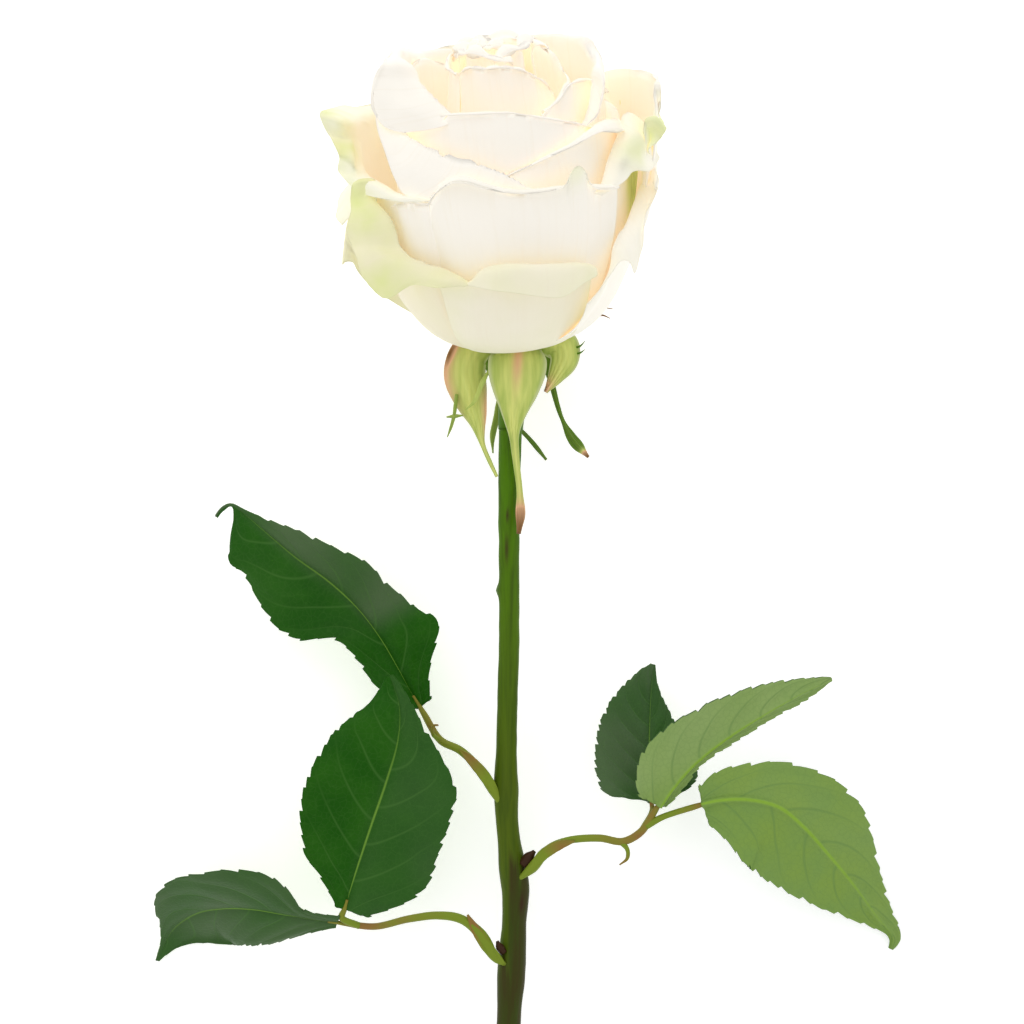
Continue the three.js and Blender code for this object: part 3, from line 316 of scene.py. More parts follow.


# Petals. A place in the bloom's frame is given as its azimuth in degrees, 0 at the front and 90 to the
# right, its radius and its height. Petals that the picture shows are given by places that it shows, each
# as its column and row there and its distance from the bloom's axis. Each petal has
#   rim     its columns from left to right, seen from outside: the brim where its wall ends, the bend of its
#           lip and the lip's edge, or the brim alone with the length of a lip that rolls out
#   inset   how far its wall lies inside the bowl
#   begins  azimuth near which the rim begins, if not the front
#   foot    azimuths between which the wall leaves the receptacle
#   ruffle  height of the waves in the rim, their number and their phase
#   creases ridges from one place to another with their height and breadth
#   green   share of green in the rim
#   body    share of green all over
#    aged    share of cream all over, partly the lowest petals' own cream and partly painted shade that darkens them
#   spots   places that are green, with their radius and share
PETALS = dict(
    front_low=dict(
        inset=0, foot=(-42, 38), green=0.22, body=0.14, cream_and_shade=0.36, ruffle=(0.35, 3.2, 1),
        creases=[((494, 299, 33.6), (536, 335, 29), 0.9, 2.2), ((505, 300, 33.6), (545, 335, 29), -0.5, 3)],
        rim=[
            (440, 286, 33, 0.8), ((466, 283, 33), (465, 284, 34.2), (463, 286, 34.6)),
            ((480, 271, 33), (480, 275, 34.8), (479, 288, 35)),
            ((505, 265, 33), (505, 270, 35.2), (506, 292, 35.4)),
            ((535, 263.5, 33), (536, 269, 35.2), (538, 297, 35.4)),
            ((562, 263.5, 33), (563, 269, 35.2), (563, 297, 35.4)),
            ((582, 262, 33), (585, 266, 34.8), (586, 283, 35)),
            ((593, 268, 33), (595, 270, 33.8), (596, 276, 34.2)),
        ],
    ),
    left_low=dict(
        inset=0.9, foot=(-112, -14), green=0.6, body=0.1, cream_and_shade=0.6, ruffle=(0.5, 4, 0.6),
        creases=[((352, 243, 41), (402, 251, 36), 0.8, 2)],
        spots=[((386, 290, 39.5), 5.5, 0.9), ((362, 205, 38), 7, 0.4)],
        rim=[
            (352, 262, -33.4, 2), ((358, 214, -34), (352, 215, -36), (350, 224, -37.5)),
            ((372, 183, 34), (362, 182, 36), (354, 186, 37)),
            ((374, 195, 34), (360, 196, 37), (350, 199, 38.5)),
            ((383, 207, 34), (365, 210, 38), (350, 212, 40)),
            ((391, 221, 34), (369, 226, 38.5), (349, 225, 41)),
            ((398, 237, 34), (373, 241, 39), (346, 238, 42)),
            ((403, 249, 34), (378, 250, 39), (356, 258, 42)),
            ((410, 256, 34), (390, 262, 38), (364, 276, 41)),
            ((424, 262, 34), (408, 270, 37), (385, 299, 39.5)),
            ((440, 268, 32.8), (430, 276, 36.4), (411, 285, 37.4)),
            ((455, 276, 32.2), (451, 281, 35.6), (438, 288, 36.6)),
            ((470, 282, 31.8), (469, 284, 34.6), (464, 286, 35.4)),
        ],
    ),
    right_low=dict(
        inset=0.9, foot=(20, 118), green=0.12, body=0.04, ruffle=(0.5, 3, 2),
        rim=[
            (588, 304, 33, 0.3), (600, 286, 33, 0.5), ((611, 264, 33), (614, 262, 34), (617, 264, 35)),
            ((616, 247, 33), (623, 250, 35), (628, 262, 36.5)),
            ((622, 230, 33), (632, 240, 36), (635, 273, 38)),
            ((630, 212, 33), (639, 224, 36.5), (641, 254, 38)),
            ((638, 194, 33), (646, 207, 36.5), (645, 228, 38)),
            ((645, 177, 34.2), (653, 188, 36.8), (650, 208, 38)),
            ((650, 162, 36), (657, 168, 37.6), (656, 184, 38.6)),
            ((651, 150, -36.6), (656, 152, -38), (657, 162, -38.6)), (640, 146, -35.6, 1.5),
        ],
    ),
    right_back_low=dict(
        inset=1.2, foot=(66, 120), green=1.1,
        spots=[((662, 128, 39), 5, 1.2)],
        rim=[
            ((641, 156, 34), (646, 153, 36), (651, 154, 37)),
            ((643, 142, 35), (650, 141, 37), (651, 147, 38)),
            ((645, 130, 36), (654, 129, 38.6), (661, 138, 40)),
            ((647, 119, 37), (656, 117, 39.4), (665.5, 127, 41)),
            ((648, 110, -38), (655, 110, -39.6), (661, 117, -41)), (640, 104, -37, 2), (620, 100, -35, 2),
        ],
    ),
    front_second=dict(
        inset=1.1, foot=(-24, 46), green=0.06, ruffle=(0.3, 3, 3.6),
        creases=[
            ((604, 192, 33), (592, 262, 34), -0.5, 1.6), ((441, 206, 32), (456, 270, 34), -0.55, 1.3),
            ((520, 215, 32), (575, 245, 33.5), 0.35, 5),
        ],
        spots=[((577, 168, 32), 3.2, 0.9)],
        rim=[
            (428, 206, 30.6, 0.5), ((434, 193, 31), (434, 193, 31.6), (434, 195, 32)),
            ((447, 182, 31), (448, 182, 32), (449, 185, 32.6)),
            ((463, 179.5, 31), (464, 180, 32.4), (465, 184, 33)),
            ((487, 185, 31), (487, 186, 32.4), (487, 190, 32.9)),
            ((520, 189, 31), (520, 190, 32.2), (520, 193, 32.8)),
            ((550, 187.5, 31), (550, 188, 32.2), (550, 191, 32.8)),
            ((564, 186, 31), (564, 186, 31.8), (564, 188, 32.4)),
            ((571, 185, 31), (571, 179, 31.3), (572, 171, 31.4)),
            ((579, 184.5, 31.1), (578, 176, 31.4), (578, 167, 31.4)),
            ((586, 184.5, 31.3), (586, 179, 31.5), (584, 171, 31.6)),
            ((593, 185, 31.5), (593, 185, 32.2), (593, 187, 32.8)),
            ((603, 187, 31.8), (604, 188, 33), (605, 191, 33.6)),
            ((617, 184, 33), (619, 185, 34), (620, 188, 34.4)),
        ],
    ),
    front_left_second=dict(
        inset=2,
        creases=[((400, 205, 32), (416, 252, 34), 0.4, 2)],
        rim=[
            (392, 207, 31.6, 0.5), (400, 202, 31.8, 0.6), (412, 202, 31.8, 0.6), (425, 203, 31.2, 0.6),
            (440, 203, 30.2, 0.6), (458, 205, 29.6, 0.6),
        ],
    ),
    left_second=dict(
        inset=3.2, green=0.55, ruffle=(0.35, 4, 0.4),
        creases=[
            ((338, 131, 36.5), (360, 165, 35.5), -1.1, 1.6), ((332, 146, 38), (362, 178, 36), 0.7, 1.6),
        ],
        spots=[((324, 118, 40), 6, 1), ((348, 145, 36), 4.5, 1), ((337, 168, 38.6), 3, 0.3)],
        rim=[
            (398, 92, -31, 2), ((384, 104, -31), (374, 105, -33), (362, 106, -34.5)),
            ((372, 116, -31), (354, 110, -35), (340, 107, -38)),
            ((364, 133, -31.6), (344, 121, 36), (320, 112, 41)),
            ((360, 149, 32), (343, 140, 36.5), (328, 135, 40)),
            ((364, 167, 32), (352, 160, 36), (339, 156, 39)),
            ((373, 179, 32), (359, 175, 35.6), (337, 168, 38.6)),
            ((386, 187.5, 32), (373, 184, 34.8), (346, 181, 38)),
            ((401, 193.5, 32), (391, 194, 34.2), (362, 194, 36.4)),
            ((415, 199.5, 31.8), (406, 200, 33.4), (388, 199.5, 34.4)),
            ((430, 200, 31), (424, 201, 32.2), (416, 203, 33)),
        ],
    ),
    right_second=dict(
        inset=2.4, foot=(45, 110), green=0.25, ruffle=(0.3, 3, 1),
        creases=[((625, 138, 34), (656, 158, 37), -1, 1.8)],
        spots=[
            ((630, 146, 34.4), 5, 0.35), ((640, 154, 36), 4, 0.25), ((633, 180, 26.2), 4.5, 1.7),
            ((627, 196, 26.2), 4.5, 1.5), ((620, 208, 26.6), 3.5, 0.7),
        ],
        rim=[
            ((592, 196, 30.6), (597, 195, 31.8), (602, 196, 32.6)),
            ((601, 186, 30.6), (612, 184, 33), (625, 181, 34.6)),
            ((606, 171, 30.3), (620, 171, 33.8), (634, 171, 35.4)),
            ((611, 155, 30), (626, 158, 34.4), (650, 171, 37)),
            ((616, 138, 29.6), (634, 145, 34.8), (658, 160, 37.6)),
            ((620, 125, 29.6), (637, 133, 34.6), (654, 150, 37)),
            ((627, 114, 29.6), (640, 121, 33.8), (648, 138, 36)),
            ((636, 122, -32), (643, 124, -34), (648, 134, 35)), (634, 146, -33, 1.2),
        ],
    ),
    right_back_second=dict(
        inset=3, foot=(62, 140), green=0.12, ruffle=(0.25, 3, 1),
        creases=[((652, 84, 34), (626, 114, 33), 1.1, 2.6)],
        rim=[
            (646, 132, 35.4, 1.2), (653, 116, 37.4, 1.2), (656, 100, 38.6, 1.2), (655, 84, 39.2, 1.2),
            (647, 73, -38, 1.2), (630, 70, -36.4, 1.2), (612, 71.5, -35.2, 1.2), (595, 74, -34.4, 1.2),
            (575, 80, -33.4, 1.2),
        ],
    ),
    front_left_third=dict(
        inset=3.6, ruffle=(0.15, 3, 1),
        creases=[((447, 168, 31), (480, 183, 30.4), 0.4, 2.6)],
        rim=[
            ((392, 108, 26), (384, 106, 29), (376, 108, 31.5)),
            ((398, 120, 27.4), (386, 121, 30), (376, 122, 32.5)),
            ((403, 131, 28), (391, 141, 31), (380, 138, 33)),
            ((414, 141, 28.4), (400, 156, 31), (387, 158, 33)),
            ((430, 148, 28.6), (415, 167, 31), (394, 177, 33)),
            ((447, 154, 28.7), (434, 175, 30.8), (402, 193, 32.4)),
            ((465, 159.5, 28.7), (455, 177, 30.4), (418, 201, 31.4)),
            ((485, 166, 28.6), (477, 181, 30), (446, 200, 30.4)),
            ((507, 174, 28.5), (503, 185, 29.5), (485, 196, 29.8)),
            ((532, 188, 28.6), (531, 192, 29.2), (526, 197, 29.4)),
        ],
    ),
    front_right_third=dict(
        inset=4.4, ruffle=(0.25, 3, 1.8),
        creases=[((617, 126, 30.5), (602, 176, 29), -0.5, 1.6)],
        rim=[
            (492, 184, 26, 0.8), (512, 173, 26.4, 0.5), (540, 160, 26.6, 0.8), (565, 146, 26.8, 1.4),
            ((588, 131, 27), (592, 130, 29), (598, 133, 30.6)),
            ((605, 121, 27.3), (612, 122, 29.6), (618, 132, 31.5)),
            ((615, 118, 0), (621, 121, 0), (624, 130, 31.5)), (618, 130, -29, 1),
        ],
    ),
    left_third=dict(
        inset=8, ruffle=(0.25, 3, 0.5),
        creases=[((401, 46, 30), (396, 84, 29.6), 0.4, 3)],
        rim=[
            (452, 50, -21.5, 1), ((432, 54, -21.5), (427, 51, -23), (422, 52, -24)),
            ((418, 56, -21), (412, 51, -24), (407, 48.5, -26)),
            ((406, 57, -20.6), (401, 49, -23.8), (396, 48.5, -25.8)),
            ((410, 67, 20.8), (398, 60, 25.2), (384, 61, 28.4)),
            ((421, 83, 21.6), (400, 79, 27.5), (374, 78, 32)),
            ((431, 95, 22), (404, 96, 28), (371, 95, 33)),
            ((441, 104, 22.3), (411, 110, 28.4), (373, 110, 32.6)),
            ((451, 113, 22.5), (423, 118, 27.4), (384, 127, 31.6)),
            ((462, 121, 22.4), (441, 127, 25.8), (404, 133, 29)),
        ],
    ),
    back_left_third=dict(
        inset=6, green=0.3, ruffle=(0.3, 3, 1),
        rim=[
            (525, 42, -25.2, 1), (495, 42, -25.6, 1), (470, 43.5, -26, 1.2), (450, 46, -26, 1.2),
            (430, 51, -26, 1.2), (412, 54, -26, 1), (396, 62, -25.6, 1),
        ],
    ),
    front_fourth=dict(
        inset=6.4, ruffle=(0.2, 3, 0),
        rim=[
            (392, 142, 25.8, 0.5), (403, 126, 25.4, 0.3), (420, 118.5, 25, 0.3),
            (450, 114.5, 24.8, 0.3), (480, 113.5, 24.8, 0.3), (510, 112.5, 24.8, 0.3),
            (540, 117, 25, 0.3), (565, 121, 25.2, 0.5), (585, 124, 25.6, 1), (602, 128, 26, 1.6),
        ],
    ),
    right_fourth=dict(
        inset=9.8, ruffle=(0.25, 3, 1),
        creases=[((580, 97, 22), (577, 121, 24), -0.7, 1.2)],
        rim=[
            (528, 127, 21.6, 0.3), (541, 117, 21.6, 0.3), (551, 107, 21.6, 0.3), (560, 97, 21.4, 0.4),
            (568, 85, 21.2, 0.5), (580, 80, 21.4, 0.8), (593, 82, 22, 1.6), (604, 92, 22.6, 1),
        ],
    ),
    back_right_fourth=dict(
        inset=8.2, ruffle=(0.2, 3, 2),
        rim=[
            ((580, 128, 24), (583, 128, 24.8), (582, 130, 25.4)),
            ((587, 114, 24.2), (592, 118, 25.8), (588, 124, 27)),
            ((591, 100, 24.4), (599, 105, 26.8), (598, 113, 28)),
            ((593, 84, 24.4), (601, 89, 26.8), (603, 97, 28.6)),
            ((593, 68, 24.5), (601, 70, 26.8), (605, 80, 28)),
            ((590, 52, -24.6), (598, 54, -26.8), (603, 64, -27.6)),
            ((583, 40, -24.4), (589, 39, -26), (596, 48, -27)),
            ((566, 36.5, -24), (568, 34.4, -25), (572, 36, -25.6)), (540, 35.5, -23.6, 1),
            (508, 39, -23, 1),
        ],
    ),
    back_left_fourth=dict(
        inset=9.6, begins=-180, ruffle=(0.25, 3, 2),
        rim=[
            (500, 58, -18.4, 0.8), (475, 64, -18.8, 0.8), (450, 66, -19.2, 0.8), (432, 61, -19.4, 0.8),
            (417, 62, -19.4, 0.8), (408, 78, -19.4, 0.8),
        ],
    ),
    right_fifth=dict(
        inset=12.4, ruffle=(0.25, 3, 2),
        rim=[
            (543, 112, 17.2, 0.6), (556, 100, 17.6, 0.6), (566, 84, 18.2, 0.7), (561, 70, -18, 0.7),
            (551, 55, -17.4, 0.7), (541, 46, -16.8, 0.7), (524, 42, -16, 0.7),
        ],
    ),
    bud_left=dict(
        inset=13.6, ruffle=(0.2, 3, 2),
        rim=[
            (480, 46, -11, 0.6), (462, 50, -10.4, 0.6), (450, 57, 0, 0.6), (448, 66, 10.2, 0.6),
            (452, 71, 11, 0.6), (458, 74, 11.4, 0.6),
        ],
    ),
    bud_front=dict(
        inset=14, ruffle=(0.3, 4, 2),
        rim=[
            (460, 74, 10.8, 0.5), (470, 67.5, 11.6, 0.6), (485, 68, 12.4, 0.8), (500, 66.5, 12.8, 0.8),
            (515, 68, 13, 0.8), (530, 74, 13.4, 0.8), (542, 83, 14, 0.7), (553, 94, 14.6, 0.5),
        ],
    ),
)
# Petals of the far side, given in the bloom's frame
HIDDEN_PETALS = dict(
    back_right_low=dict(
        inset=0.5, green=0.5, ruffle=(0.8, 3, 0.5),
        rim=[
            (124, 33.4, 29, 4), (147, 34, 33.5, 7), (171, 34.2, 34.5, 8), (195, 34, 33.5, 7),
            (218, 33.4, 29, 4),
        ],
    ),
    back_left_low=dict(
        inset=0.3, green=0.6, ruffle=(0.8, 3, 2.6),
        rim=[
            (-175, 33, 29, 4), (-152, 33.6, 34, 7), (-128, 34, 36, 9), (-104, 33.6, 35, 8),
            (-84, 33.4, 33, 5),
        ],
    ),
    back_second=dict(
        inset=1.8, ruffle=(0.7, 3, 0),
        rim=[
            (122, 31.5, 46, 3), (147, 31.8, 52, 5), (172, 32, 54.5, 6), (197, 31.8, 52, 5),
            (222, 31.5, 46, 3),
        ],
    ),
    back_left_second=dict(
        inset=2.1, ruffle=(0.7, 3, 2.4),
        rim=[
            (-190, 31.5, 46, 3), (-168, 31.8, 52, 5), (-148, 32, 54.5, 6), (-130, 32.2, 52, 4),
            (-114, 32.6, 44, 2),
        ],
    ),
    right_third=dict(
        inset=4.8, ruffle=(0.5, 3, 0),
        rim=[
            (74, 27.6, 40, 1.2), (92, 27.8, 46, 1.6), (112, 27.8, 51, 2.4), (132, 27.4, 52, 3),
            (150, 27, 47, 2),
        ],
    ),
    back_right_third=dict(
        inset=5.4, ruffle=(0.5, 3, 1),
        rim=[
            (110, 26.5, 56, 1.5), (133, 27, 61, 3), (156, 27.2, 63, 3), (180, 27, 62, 3),
            (202, 26.6, 58, 2),
        ],
    ),
)

# The bowl that the petals' walls follow, as radius and height from its foot up, and the shares of a wall
# where its curve is fixed
BOWL = [(3, 1), (10, -1.2), (17, 0.6), (22.8, 4.8), (27, 11.4), (30.3, 19.6), (32.6, 28),
        (33.8, 37), (34.2, 48), (34.2, 60), (34.2, 78)]
WALL_PLACES = (0, 0.16, 0.32, 0.46, 0.58, 0.7, 0.8, 0.89, 0.95)
PETAL_COLUMNS = 46  # of the grid of a wide petal
PETAL_ROWS = 46
PETAL_HALF = 0.22  # half the thickness of a petal's middle, and of its rim
PETAL_RIM_HALF = 0.09


def bloom_place(azimuth, radius, height):
    """A place in the bloom's frame, from its azimuth in degrees, its radius and its height."""
    turn = math.radians(azimuth)
    return Vector((radius * math.sin(turn), height, radius * math.cos(turn)))


def seen(column, row, away, near=0):
    """Azimuth, radius and height, to a tenth, of a place in the picture. away is its distance from the
    bloom's axis, less than 0 on the far side, and near an azimuth half a turn from it at most."""
    shift = VIEW_WIDTH / PICTURE * Vector((column - PICTURE / 2, PICTURE / 2 - row, 0))
    to_bloom = BLOOM_TURN.to_3x3().transposed()
    start = to_bloom @ (VIEW_MIDDLE + shift)
    ahead = to_bloom @ (Vector((0, 0, 1)) - shift * SENSOR / (VIEW_WIDTH * LENS))
    flat, slope = start.xz, ahead.xz
    nearest = -flat.dot(slope) / slope.length_squared
    past = math.sqrt(max(away**2 - (flat + nearest * slope).length_squared, 0)) / slope.length
    place = start + (nearest + math.copysign(past, away)) * ahead
    azimuth = math.degrees(math.atan2(place.x, place.z))
    azimuth += 360 * round((near - azimuth) / 360)
    return round(azimuth, 1), round(place.xz.length, 1), round(place.y, 1)


def placed_in_bloom(given):
    """A petal with its seen places turned to the bloom's frame."""
    rim, near = [], given.get("begins", 0)
    for column in given["rim"]:
        if len(column) == 3:
            rim.append([seen(*place, near) for place in column])
            near = rim[-1][0][0]
        else:
            rim.append((*seen(*column[:3], near), column[3]))
            near = rim[-1][0]
    creases = [(seen(*a), seen(*b), *size) for a, b, *size in given.get("creases", ())]
    spots = [(seen(*place), *size) for place, *size in given.get("spots", ())]
    return given | dict(rim=rim, creases=creases, spots=spots)


def lip_places(column):
    """Bend and edge of the lip of a column, drawn or rolled out plainly."""
    if len(column) == 3:
        return [bloom_place(*p) for p in column[1:]]
    azimuth, radius, height, lip = column
    return [
        bloom_place(azimuth, radius + 0.5 * lip, height + 0.1 * lip),
        bloom_place(azimuth, radius + lip, height - 0.3 * lip),
    ]


def bowl_share(height):
    """Share of the bowl's length at which it has this height."""
    low, high = 0.2, 1.0
    for _ in range(24):
        half = (low + high) / 2
        if BOWL_LINE.at(half).y < height:
            low = half
        else:
            high = half
    return low


class Petal:
    """A petal's wall and lip as one surface over s, from left to right, and t, from foot to edge."""

    def __init__(self, given):
        self.given = given
        columns = given["rim"]
        self.brims = [Vector(c[0] if len(c) == 3 else c[:3]) for c in columns]
        self.bends, self.edges = zip(*(lip_places(c) for c in columns))
        first, last = self.brims[0].x, self.brims[-1].x
        spare = 0.12 * (last - first)
        self.foot = given.get("foot", (first + spare, last - spare))
        self.start = min(0.1 * given["inset"], 0.55)
        self.seed = Vector((first * 0.37, last * 0.21, given["inset"]))
        self.lines = {}

    def line(self, s):
        """The petal's section at s, from the receptacle to the lip's edge, and the brim's share of it."""
        if s not in self.lines:
            x = (s + 1) / 2
            azimuth, radius, height = through(self.brims, x)
            end = bowl_share(height)
            bowl_end = BOWL_LINE.at(end).x - self.given["inset"]
            places = []
            for u in WALL_PLACES:
                at = BOWL_LINE.at(u * end)
                inset = self.given["inset"] * smooth(at.x, 0, 16)
                out = at.x - inset + (radius - bowl_end) * smooth(u, 0.35, 1)
                turned = mix(mix(*self.foot, x), azimuth, smooth(u, 0.15, 1))
                places.append(bloom_place(turned, out, at.y))
            places += [bloom_place(azimuth, radius, height), through(self.bends, x), through(self.edges, x)]
            line = Line(places)
            brim = sum((b - a).length for a, b in zip(places[:-2], places[1:-2]))
            lip = (places[-1] - places[-2]).length + (places[-2] - places[-3]).length
            self.lines[s] = line, brim / (brim + lip)
        return self.lines[s]

    def at(self, s, t):
        """The place of the petal's middle sheet at s and t."""
        return off_floor(self.line(s)[0].at(t), BLOOM)

    def relief(self, s, t, point):
        """How far a place stands out: waves in the rim, creases, and gentle swellings all over."""
        brim = self.line(s)[1]
        height, count, phase = self.given.get("ruffle", (0.25, 3, 0))
        wave = height * smooth(t, 0.72 * brim, 1) * math.sin(count * math.pi * s + phase)
        swell = 0.35 * noise.noise(point * 0.09 + self.seed) * smooth(t, 0.2, 0.6)
        crimp = 0.22 * noise.noise(point * 0.3 + self.seed) * smooth(t, 0.8 * brim, 1)
        crease = 0
        for a, b, rise, breadth in self.given.get("creases", ()):
            a, b = bloom_place(*a), bloom_place(*b)
            share = min(max((point - a).dot(b - a) / (b - a).length_squared, 0), 1)
            apart = (point - a.lerp(b, share)).length
            crease += rise * math.exp(-((apart / breadth) ** 2))
        return wave + swell + crimp + crease

    def green(self, s, t, point):
        """Share of green at a place: towards the rim, and in the petal's green spots."""
        brim = self.line(s)[1]
        rim = max(smooth(t, 0.8 * brim, 1), smooth(abs(s), 0.75, 1) * smooth(t, 0.3, 0.6))
        green = self.given.get("body", 0) + 0.6 * self.given.get("green", 0) * rim
        for place, radius, share in self.given.get("spots", ()):
            green += share * math.exp(-(((point - bloom_place(*place)).length / radius) ** 2))
        return min(green, 2)


BOWL_LINE = Line([(r, h, 0) for r, h in BOWL])

GOLDEN_ANGLE = 137.5
SWIRL_PETALS = 5
SWIRL_COLUMNS = 7
SWIRL_BEGINS = 172  # azimuth of the outermost one's middle
SWIRL_REACH = 80  # azimuth that each reaches to both sides of its middle
SWIRL_CENTRE = 2.2  # how far the swirl's middle lies to the right of the bloom's axis
SWIRL_RADII = (8.8, 2.2)  # of the outermost and the innermost
SWIRL_HEIGHTS = (70.4, 71.2)
SWIRL_DROP = 2.6  # how far a rim falls away at its ends
SWIRL_LIP = 2.6


def swirl_petals():
    """The crinkled petals wound on each other inside the bud, a golden angle apart and ever closer in."""
    for i in range(SWIRL_PETALS):
        inward = i / (SWIRL_PETALS - 1)
        middle = SWIRL_BEGINS + i * GOLDEN_ANGLE
        rim = []
        for k in range(SWIRL_COLUMNS):
            azimuth = middle + mix(-SWIRL_REACH, SWIRL_REACH, k / (SWIRL_COLUMNS - 1))
            radius = mix(*SWIRL_RADII, inward) + SWIRL_CENTRE * math.sin(math.radians(azimuth))
            drop = SWIRL_DROP * abs(2 * k / (SWIRL_COLUMNS - 1) - 1) ** 3
            rim.append((azimuth, max(radius, 1.2), mix(*SWIRL_HEIGHTS, inward) - drop, SWIRL_LIP))
        yield f"petal_swirl_{i + 1}", dict(inset=15, rim=rim, ruffle=(0.9, 2.6, i * 2.1))


def petal_mesh(given):
    """A petal as a closed sheet, on a grid that is coarser for a narrow petal."""
    petal = Petal(given)
    start, half_way, end = (petal.edges[k] for k in (0, len(petal.edges) // 2, -1))
    span = max((start - end).length, (start - half_way).length)
    fineness = mix(0.5, 1, min(span / 40, 1))
    columns = with_margins(evenly(round(PETAL_COLUMNS * fineness), -1, 1), 0.02)
    brim = petal.line(0)[1]
    wall = evenly(round(PETAL_ROWS * 0.5), petal.start * brim, brim)
    lip = evenly(round(PETAL_ROWS * (0.45 if brim < 0.9 else 0.2)), brim, 1)
    rows = with_margins(wall[:-1] + lip, 0.006)

    def half(s, t, side):
        edge = min(1 - abs(s), 2 * (1 - t))
        return mix(PETAL_RIM_HALF, PETAL_HALF, smooth(edge, 0, 0.16))

    def tints(s, t):
        return petal.green(s, t, petal.at(s, t)), 0

    return tinted(sheet(petal.at, columns, rows, half, tints, petal.relief), "cream_and_shade", given.get("cream_and_shade", 0))


OPENNESS_RAYS = 24
OPENNESS_REACH = 14  # how far off a petal still shades a place


def shade_depths(meshes):
    """Writes to each mesh's layer "deep" how closed in its places are, by rays to the other petals; the
    petals' painted fold shade and painted glow are laid by it.
    """
    whole = merged(meshes, keep=True)
    tree = BVHTree.FromBMesh(whole)
    whole.free()
    rays = []
    for k in range(OPENNESS_RAYS):
        rise = math.sqrt(1 - (k + 0.5) / OPENNESS_RAYS)
        turn = math.radians(k * GOLDEN_ANGLE)
        level = math.sqrt(1 - rise * rise)
        rays.append(Vector((level * math.cos(turn), level * math.sin(turn), rise)))
    for bm in meshes:
        bm.normal_update()
        deep = bm.verts.layers.float["deep"]
        for v in bm.verts:
            frame = v.normal.to_track_quat("Z", "Y")
            start = v.co + 0.25 * v.normal
            met = 0
            for ray in rays:
                apart = tree.ray_cast(start, frame @ ray, OPENNESS_REACH)[3]
                if apart is not None:
                    met += 1 - apart / OPENNESS_REACH
            v[deep] = met / OPENNESS_RAYS


HEART_PROFILE = [  # radius and height of the heart that the inner petals stand in
    (0, -0.6), (4.6, -0.6), (13, 2.5), (21, 10), (25.4, 18), (26.4, 26), (24.4, 34), (20, 42),
    (15, 49), (9.6, 55), (0, 57),
]


# Blades: leaflets and sepals. A blade follows its midrib, and its halves rise from it.
#   rib     points of the midrib, base to tip
#   wide    greatest half widths, to the left and the right of the way to the tip
#   outline half width along the midrib, as a share of the greatest; one list, or two for the sides
#   roll    turn of the upper face about the midrib along its length, in degrees from +Z
#   fold    degrees that each half rises from level towards the upper face
#   cup     how far the margins bend back down, as a share of the half width
#   wave    height, number and phase of the waves in the margin
#    dull    share of painted sheen, the grey-green reflection of the sky, on the left and the right half, and where along the midrib it begins
BLADE = dict(
    wide=(15, 15), outline=(0.12, 0.6, 0.87, 0.98, 1, 0.95, 0.83, 0.65, 0.43, 0.2, 0.03),
    roll=(0,), fold=(14,), cup=0.1, wave=(0.8, 3, 0), painted_sheen=(0.4, 0.4), painted_sheen_from=-1,
)


def outline_at(b, s, t):
    """Half width of a blade at t on the side of s, as a share of the greatest."""
    sides = b["outline"] if isinstance(b["outline"][0], (tuple, list)) else (b["outline"],) * 2
    return through(sides[0] if s < 0 else sides[1], t)


def blade_surface(b, relief=None):
    """The middle sheet of a blade, over s from left to right and t from base to tip."""
    line = Line(b["rib"])
    frames = {}

    def frame_at(t):
        if t not in frames:
            ahead = line.heading(t)
            face = Vector((0, 0, 1)) - ahead.z * ahead
            face = Quaternion(ahead, math.radians(along(b["roll"], t))) @ face.normalized()
            frames[t] = (line.at(t), ahead.cross(face), face)
        return frames[t]

    def surface(s, t):
        place = min(max(t, 0), 1)
        middle, right, face = frame_at(place)
        outline = outline_at(b, s, place)
        half = (b["wide"][0] if s < 0 else b["wide"][1]) * outline
        reach = abs(s) * half
        rise = math.radians(along(b["fold"], place))
        height, count, phase = b["wave"]
        wave = height * math.sin(count * math.pi * place + phase + (1.3 if s < 0 else 0))
        lift = reach * math.sin(rise) - b["cup"] * half * s * s + wave * s * s * outline
        if relief:
            lift += relief(s, t, half)
        return middle + right * math.copysign(reach, s) * math.cos(rise) + face * lift

    return surface


LEAFLET_START, LEAFLET_END = 0.035, 0.985  # shares of the midrib where a leaflet's blade lies
TEETH = 22  # on each side of a leaflet
TOOTH_DEPTH = 0.6
SIDE_VEINS = 6.5  # spaces between side veins, on each side of the midrib
VEIN_SWEEP = 0.3  # how far towards the tip a side vein runs on its way to the margin
VEIN_BEND = 1.4  # power that bends it
VEIN_SHIFT = 0.35  # how far the left side's veins lie from the right side's, in spaces between two
BLADE_HALF = 0.3  # half the thickness of a blade's middle, and of its rim
BLADE_RIM_HALF = 0.16

